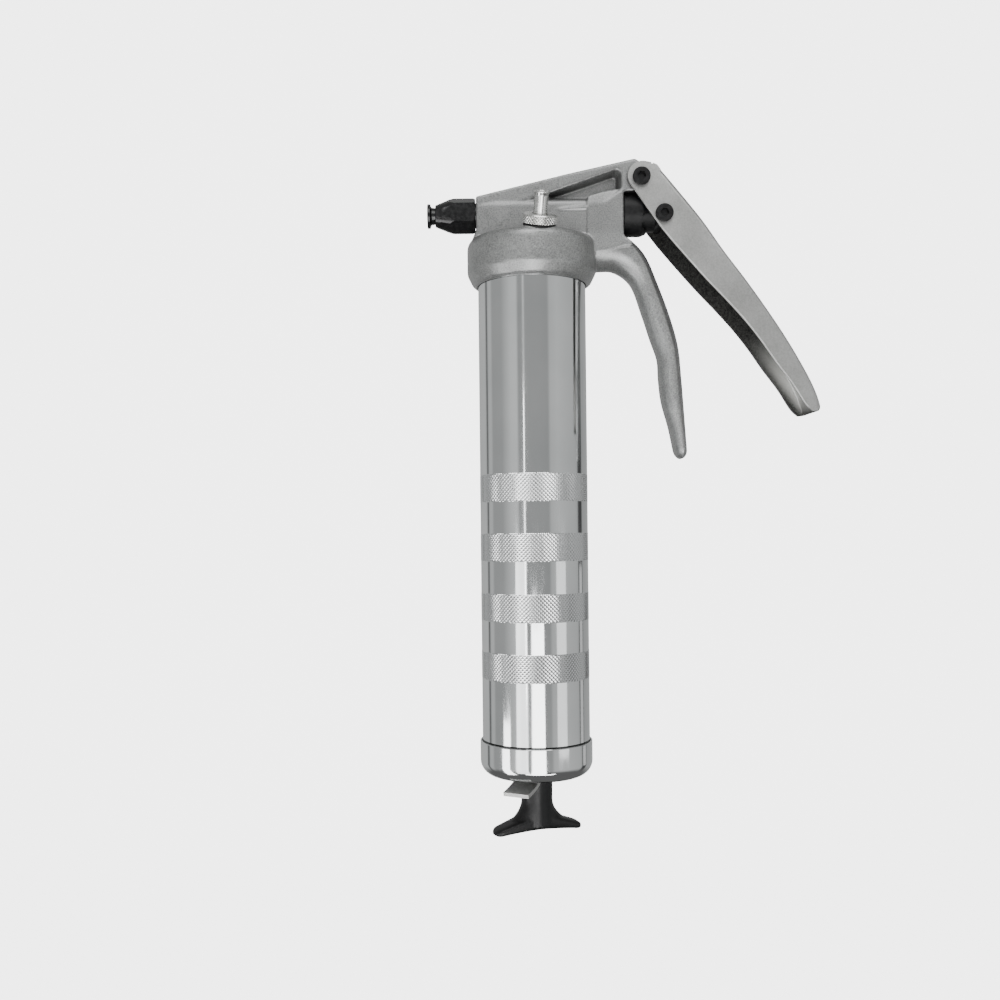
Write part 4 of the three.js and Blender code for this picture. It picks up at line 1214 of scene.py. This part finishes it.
def check_valve():
    """The outlet's ball and seat, with the liner behind them and the packing at its far end."""
    ball_r, ball_x = 3.2, -8.45
    angles = [math.pi * i / 24 for i in range(25)]
    half_circle = [(ball_r * math.sin(a), ball_x - ball_r * math.cos(a)) for a in angles]
    finished(turned("outlet_ball", half_circle, PUMP_AXIS, 48), "check", "check_ball")
    seat = filleted([(2.2, -5.8, 0.3), (LINER_R, -5.8, 0.2), (LINER_R, -2.3, 0.2), (2.2, -2.3, 0.2)])
    finished(turned("ball_seat", seat, PUMP_AXIS, 64), "head", "check_seat")
    inner = PLUNGER_R + CLEARANCE
    liner_left, liner_right = -2, 25
    seal = ring_section(inner, LINER_R, liner_right + CLEARANCE, 29.7, 0.4, 0.4)
    finished(turned("packing", seal, PUMP_AXIS, 64), "head", "plunger_seal")
    liner = turned("liner", ring_section(inner, LINER_R, liner_left, liner_right), PUMP_AXIS, 64)
    bored(liner, INLET_R, 280, PUMP_Z, INLET_AXIS, 32)
    shade(liner, 32)
    finished(liner, "head", "pump_liner")


# ======== Latch ========
def latch_plate():
    """A flat plate round the rod that bends down to a finger tab."""
    half_width, half_sheet = 7, 1
    bends = [(0, 0), (10, 0), (18.5, -0.1), (22.5, -1.9), (26, -4.1), (31, -5.4), (38.5, -6.6)]
    middle = smooth_curve(bends, per_span=6)
    upper, lower = [], []
    for i, point in enumerate(middle):
        ahead = middle[min(i + 1, len(middle) - 1)]
        behind = middle[max(i - 1, 0)]
        along = (ahead - behind).normalized()
        normal = Vector((-along.y, along.x)) * half_sheet
        upper.append(point + normal)
        lower.append(point - normal)
    plate = plate_xz("latch", upper + lower[::-1], half_width, LATCH_FRAME)
    hole_place = LATCH_FRAME @ Matrix.Translation((LATCH_PIVOT_BACK, 0, 0))
    bored(plate, ROD_R + 0.6, -4, 4, hole_place, 48)
    bevelled(plate, 0.35, 3, 40, sharp_angle=40)
    return finished(plate, "latch", "latch_plate")


# ======== Bleed valve ========
def bleed_valve():
    """Filler valve: body and O-ring in the collar, a knurled disc and the bright pin, all on VALVE_AXIS."""
    body = filleted([(0, -5.2), (4.6, -5.2, 0.4), (4.6, 2.4), (2.9, 2.4), (2.9, -4.2), (0, -4.2)])
    finished(turned("valve_shell", body, VALVE_AXIS, 64), "head", "valve_body")
    ring = ring_section(5.2, 8.3, -1.5, -0.3, 0.4, 0.5)
    finished(turned("valve_ring", ring, VALVE_AXIS, 64), "head", "valve_o_ring")
    rim, top = 8.5, 4.8
    section = [(4.9, 0), (rim - 0.4, 0), (rim, 0.3)]
    section += knurled_rows(rim - 0.05, 0.5, 3.9, pitch=1.7)
    section += [(rim, 4.2), (rim - 0.5, 4.7), (7.6, top), (3.8, top), (3.8, top - 1), (4.9, top - 1)]
    disc = turned("knurled_nut", section, VALVE_AXIS, columns=128, relief=0.32, sharp_angle=15)
    finished(disc, "valve_collar", "valve_nut")
    stem = filleted([
        (0, -0.2), (2.6, -0.2, 0.3), (2.6, 4.2), (3.5, 4.2, 0.3), (3.5, 13.8, 3),
        (3.95, 15.1, 0.3), (3.95, 15.75, 0.3), (2.9, 15.75, 0.3), (2.4, 14.7), (0, 14.7),
    ])
    finished(turned("valve_pin", stem, VALVE_AXIS, 64), "valve_pin", "valve_stem")


# ======== Stage, light and camera, in metres ========
BACKDROP_GLOW = 4.0
CAMERA_PLACE = (-0.0286, -0.56, 0.129)
CAMERA_ROLL = math.radians(-0.6)
CAMERA_LENS = 38.16  # millimetres
CAMERA_SHIFT = (0.02, 0.029)


def paper(name, glow):
    """Plain pale paper, lit from behind where glow is above 0."""
    return Nodes(name).set(
        Base_Color=(0.8, 0.8, 0.8),
        Roughness=1.0,
        Specular_IOR_Level=0.0,
        Emission_Color=(1, 1, 1),
        Emission_Strength=glow,
    )


def sheet(name, profile, half_width, glow):
    """A sheet that follows a (y, z) profile in metres."""
    verts, faces = [], []
    for y, z in profile:
        verts += [(-half_width, y, z), (half_width, y, z)]
    for i in range(len(profile) - 1):
        faces.append((2 * i, 2 * i + 1, 2 * i + 3, 2 * i + 2))
    mesh = bpy.data.meshes.new(name)
    mesh.from_pydata(verts, [], faces)
    mesh.shade_smooth()
    mesh.materials.append(paper(name, glow))
    obj = placed(name, mesh)
    return obj


def stage():
    """A pale floor below the object and a lit white sweep behind it; neither is mirrored in the metal."""
    floor_z, floor_front, half_width = -0.45, -0.6, 1.2
    sweep_start, sweep_end, sweep_top, bend, bend_steps = 0.62, 1.6, 1.6, 0.5, 12
    floor = sheet("floor", [(floor_front, floor_z), (sweep_start, floor_z)], half_width, 0.0)
    sweep = [(sweep_start, floor_z), (sweep_end - bend, floor_z)]
    for step in range(1, bend_steps + 1):
        angle = math.pi / 2 * step / bend_steps
        sweep.append((sweep_end - bend + bend * math.sin(angle), floor_z + bend - bend * math.cos(angle)))
    sweep.append((sweep_end, sweep_top))
    backdrop = sheet("backdrop", sweep, half_width, BACKDROP_GLOW)
    backdrop.visible_diffuse = False
    for surface in (floor, backdrop):
        surface.visible_glossy = False


def area_light(name, place, target, width, height, radiance):
    """A soft box of the given brightness; its power follows from its size."""
    data = bpy.data.lights.new(name, "AREA")
    data.shape = "RECTANGLE"
    data.size = width
    data.size_y = height
    data.energy = radiance * math.pi * width * height
    light = placed(name, data)
    light.location = place
    light.rotation_euler = (Vector(target) - Vector(place)).to_track_quat("-Z", "Y").to_euler()


# Brightness of the room at each bearing, in degrees from the camera's side, positive to the right.
ROOM = (
    (-180, 0.62), (-124, 0.75), (-119, 0.18), (-116, 0.18), (-112, 0.7), (-103, 0.72), (-98, 0.48),
    (-72, 0.50), (-50, 0.86), (-37, 0.9), (-33, 0.46), (-24, 0.48), (-22, 1.2), (-19, 0.48),
    (3, 0.48), (29, 0.46), (34, 0.72), (50, 0.80), (80, 0.70), (96, 0.66), (102, 0.60), (106, 0.10),
    (117, 0.08), (122, 0.5), (180, 0.62),
)
# Above and below the walls: the heights where the change starts and ends, as a sine, and the grey.
CEILING = (0.35, 0.9, (0.5, 0.505, 0.5))
GROUND = (-0.3, -0.6, (0.16, 0.16, 0.16))
ROOM_STRENGTH = 0.8


def room():
    """The studio round the object: walls with paler and darker stretches for bright metal to mirror."""
    n = Nodes("studio", "worlds", "Background")
    bpy.context.scene.world = n.owner
    parts = n.add("ShaderNodeSeparateXYZ", {"Vector": n.places["Generated"]}).outputs
    bearing = n.math("ARCTAN2", parts["X"], n.math("MULTIPLY", parts["Y"], -1))
    walls = n.add("ShaderNodeValToRGB", {"Fac": n.ramp(bearing, 0, 1, -math.pi, math.pi)})
    stops = walls.color_ramp.elements
    ends = {-180: 0, 180: -1}
    for degrees, grey in ROOM:
        stop = stops[ends[degrees]] if degrees in ends else stops.new((degrees + 180) / 360)
        stop.color = (grey * 0.985, grey, grey * 0.995, 1)
    colour = walls.outputs["Color"]
    for start, end, grey in (CEILING, GROUND):
        share = n.ramp(parts["Z"], 0, 1, start, end, interpolation_type="SMOOTHSTEP")
        colour = n.tinted(colour, share, grey)
    n.set(Color=colour, Strength=ROOM_STRENGTH)


# Each soft box: its name, where it stands, what it faces, its width and height, and its brightness.
SOFT_BOXES = (
    ("low_left", (-0.42, -0.68, -0.215), (0, 0, 0.02), 0.36, 0.66, 2.6),
    ("low_front", (0.03, -0.80, -0.30), (0, 0, 0.02), 0.42, 0.68, 6.0),
    ("top", (0.05, -0.7, 0.95), (0.02, 0, 0.12), 0.9, 0.6, 3.4),
    ("low_right", (0.73, -0.53, -0.04), (0, 0, 0.08), 0.36, 0.28, 1.0),
    ("low_edge", (0.84, 0.32, -0.06), (0, 0, 0.08), 0.16, 0.28, 0.6),
    ("left_strip", (-0.56, -0.25, -0.3), (0.06, 0, 0.22), 0.22, 0.5, 5.0),
    ("line", (-0.45, -1.11, 0.1), (0, 0, 0.12), 0.035, 0.5, 5.0),
    ("underneath", (0.05, -0.45, -0.45), (0, 0, 0.25), 0.6, 0.05, 9.0),
)


def lights():
    room()
    for soft_box in SOFT_BOXES:
        area_light(*soft_box)


def camera():
    data = bpy.data.cameras.new("camera")
    data.sensor_width = 36
    data.lens = CAMERA_LENS
    data.shift_x, data.shift_y = CAMERA_SHIFT
    data.clip_start = 0.01
    view = placed("camera", data)
    view.location = CAMERA_PLACE
    level = Matrix.Rotation(math.pi / 2, 4, "X")
    view.rotation_euler = (level @ Matrix.Rotation(CAMERA_ROLL, 4, "Z")).to_euler()
    bpy.context.scene.camera = view


camera()
stage()
lights()
head_casting()
coupler_body()
coupler_mouthpiece()
coupler_jaws()
coupler_seal()
gland_cup()
plunger()
check_valve()
lever()
socket_pin("pivot_pin", "pivot_screw", PIVOT_X, PIVOT_Z)
socket_pin("link_pin", "link_screw", LINK_X, LINK_Z)
hex_nut("pivot_hex", "pivot_nut", PIVOT_X, PIVOT_Z)
hex_nut("link_hex", "link_nut", LINK_X, LINK_Z)
barrel()
barrel_cap()
rod_bush()
head_gasket()
follower_rod()
handle_pin()
t_handle()
follower()
latch_plate()
bleed_valve()
springs()
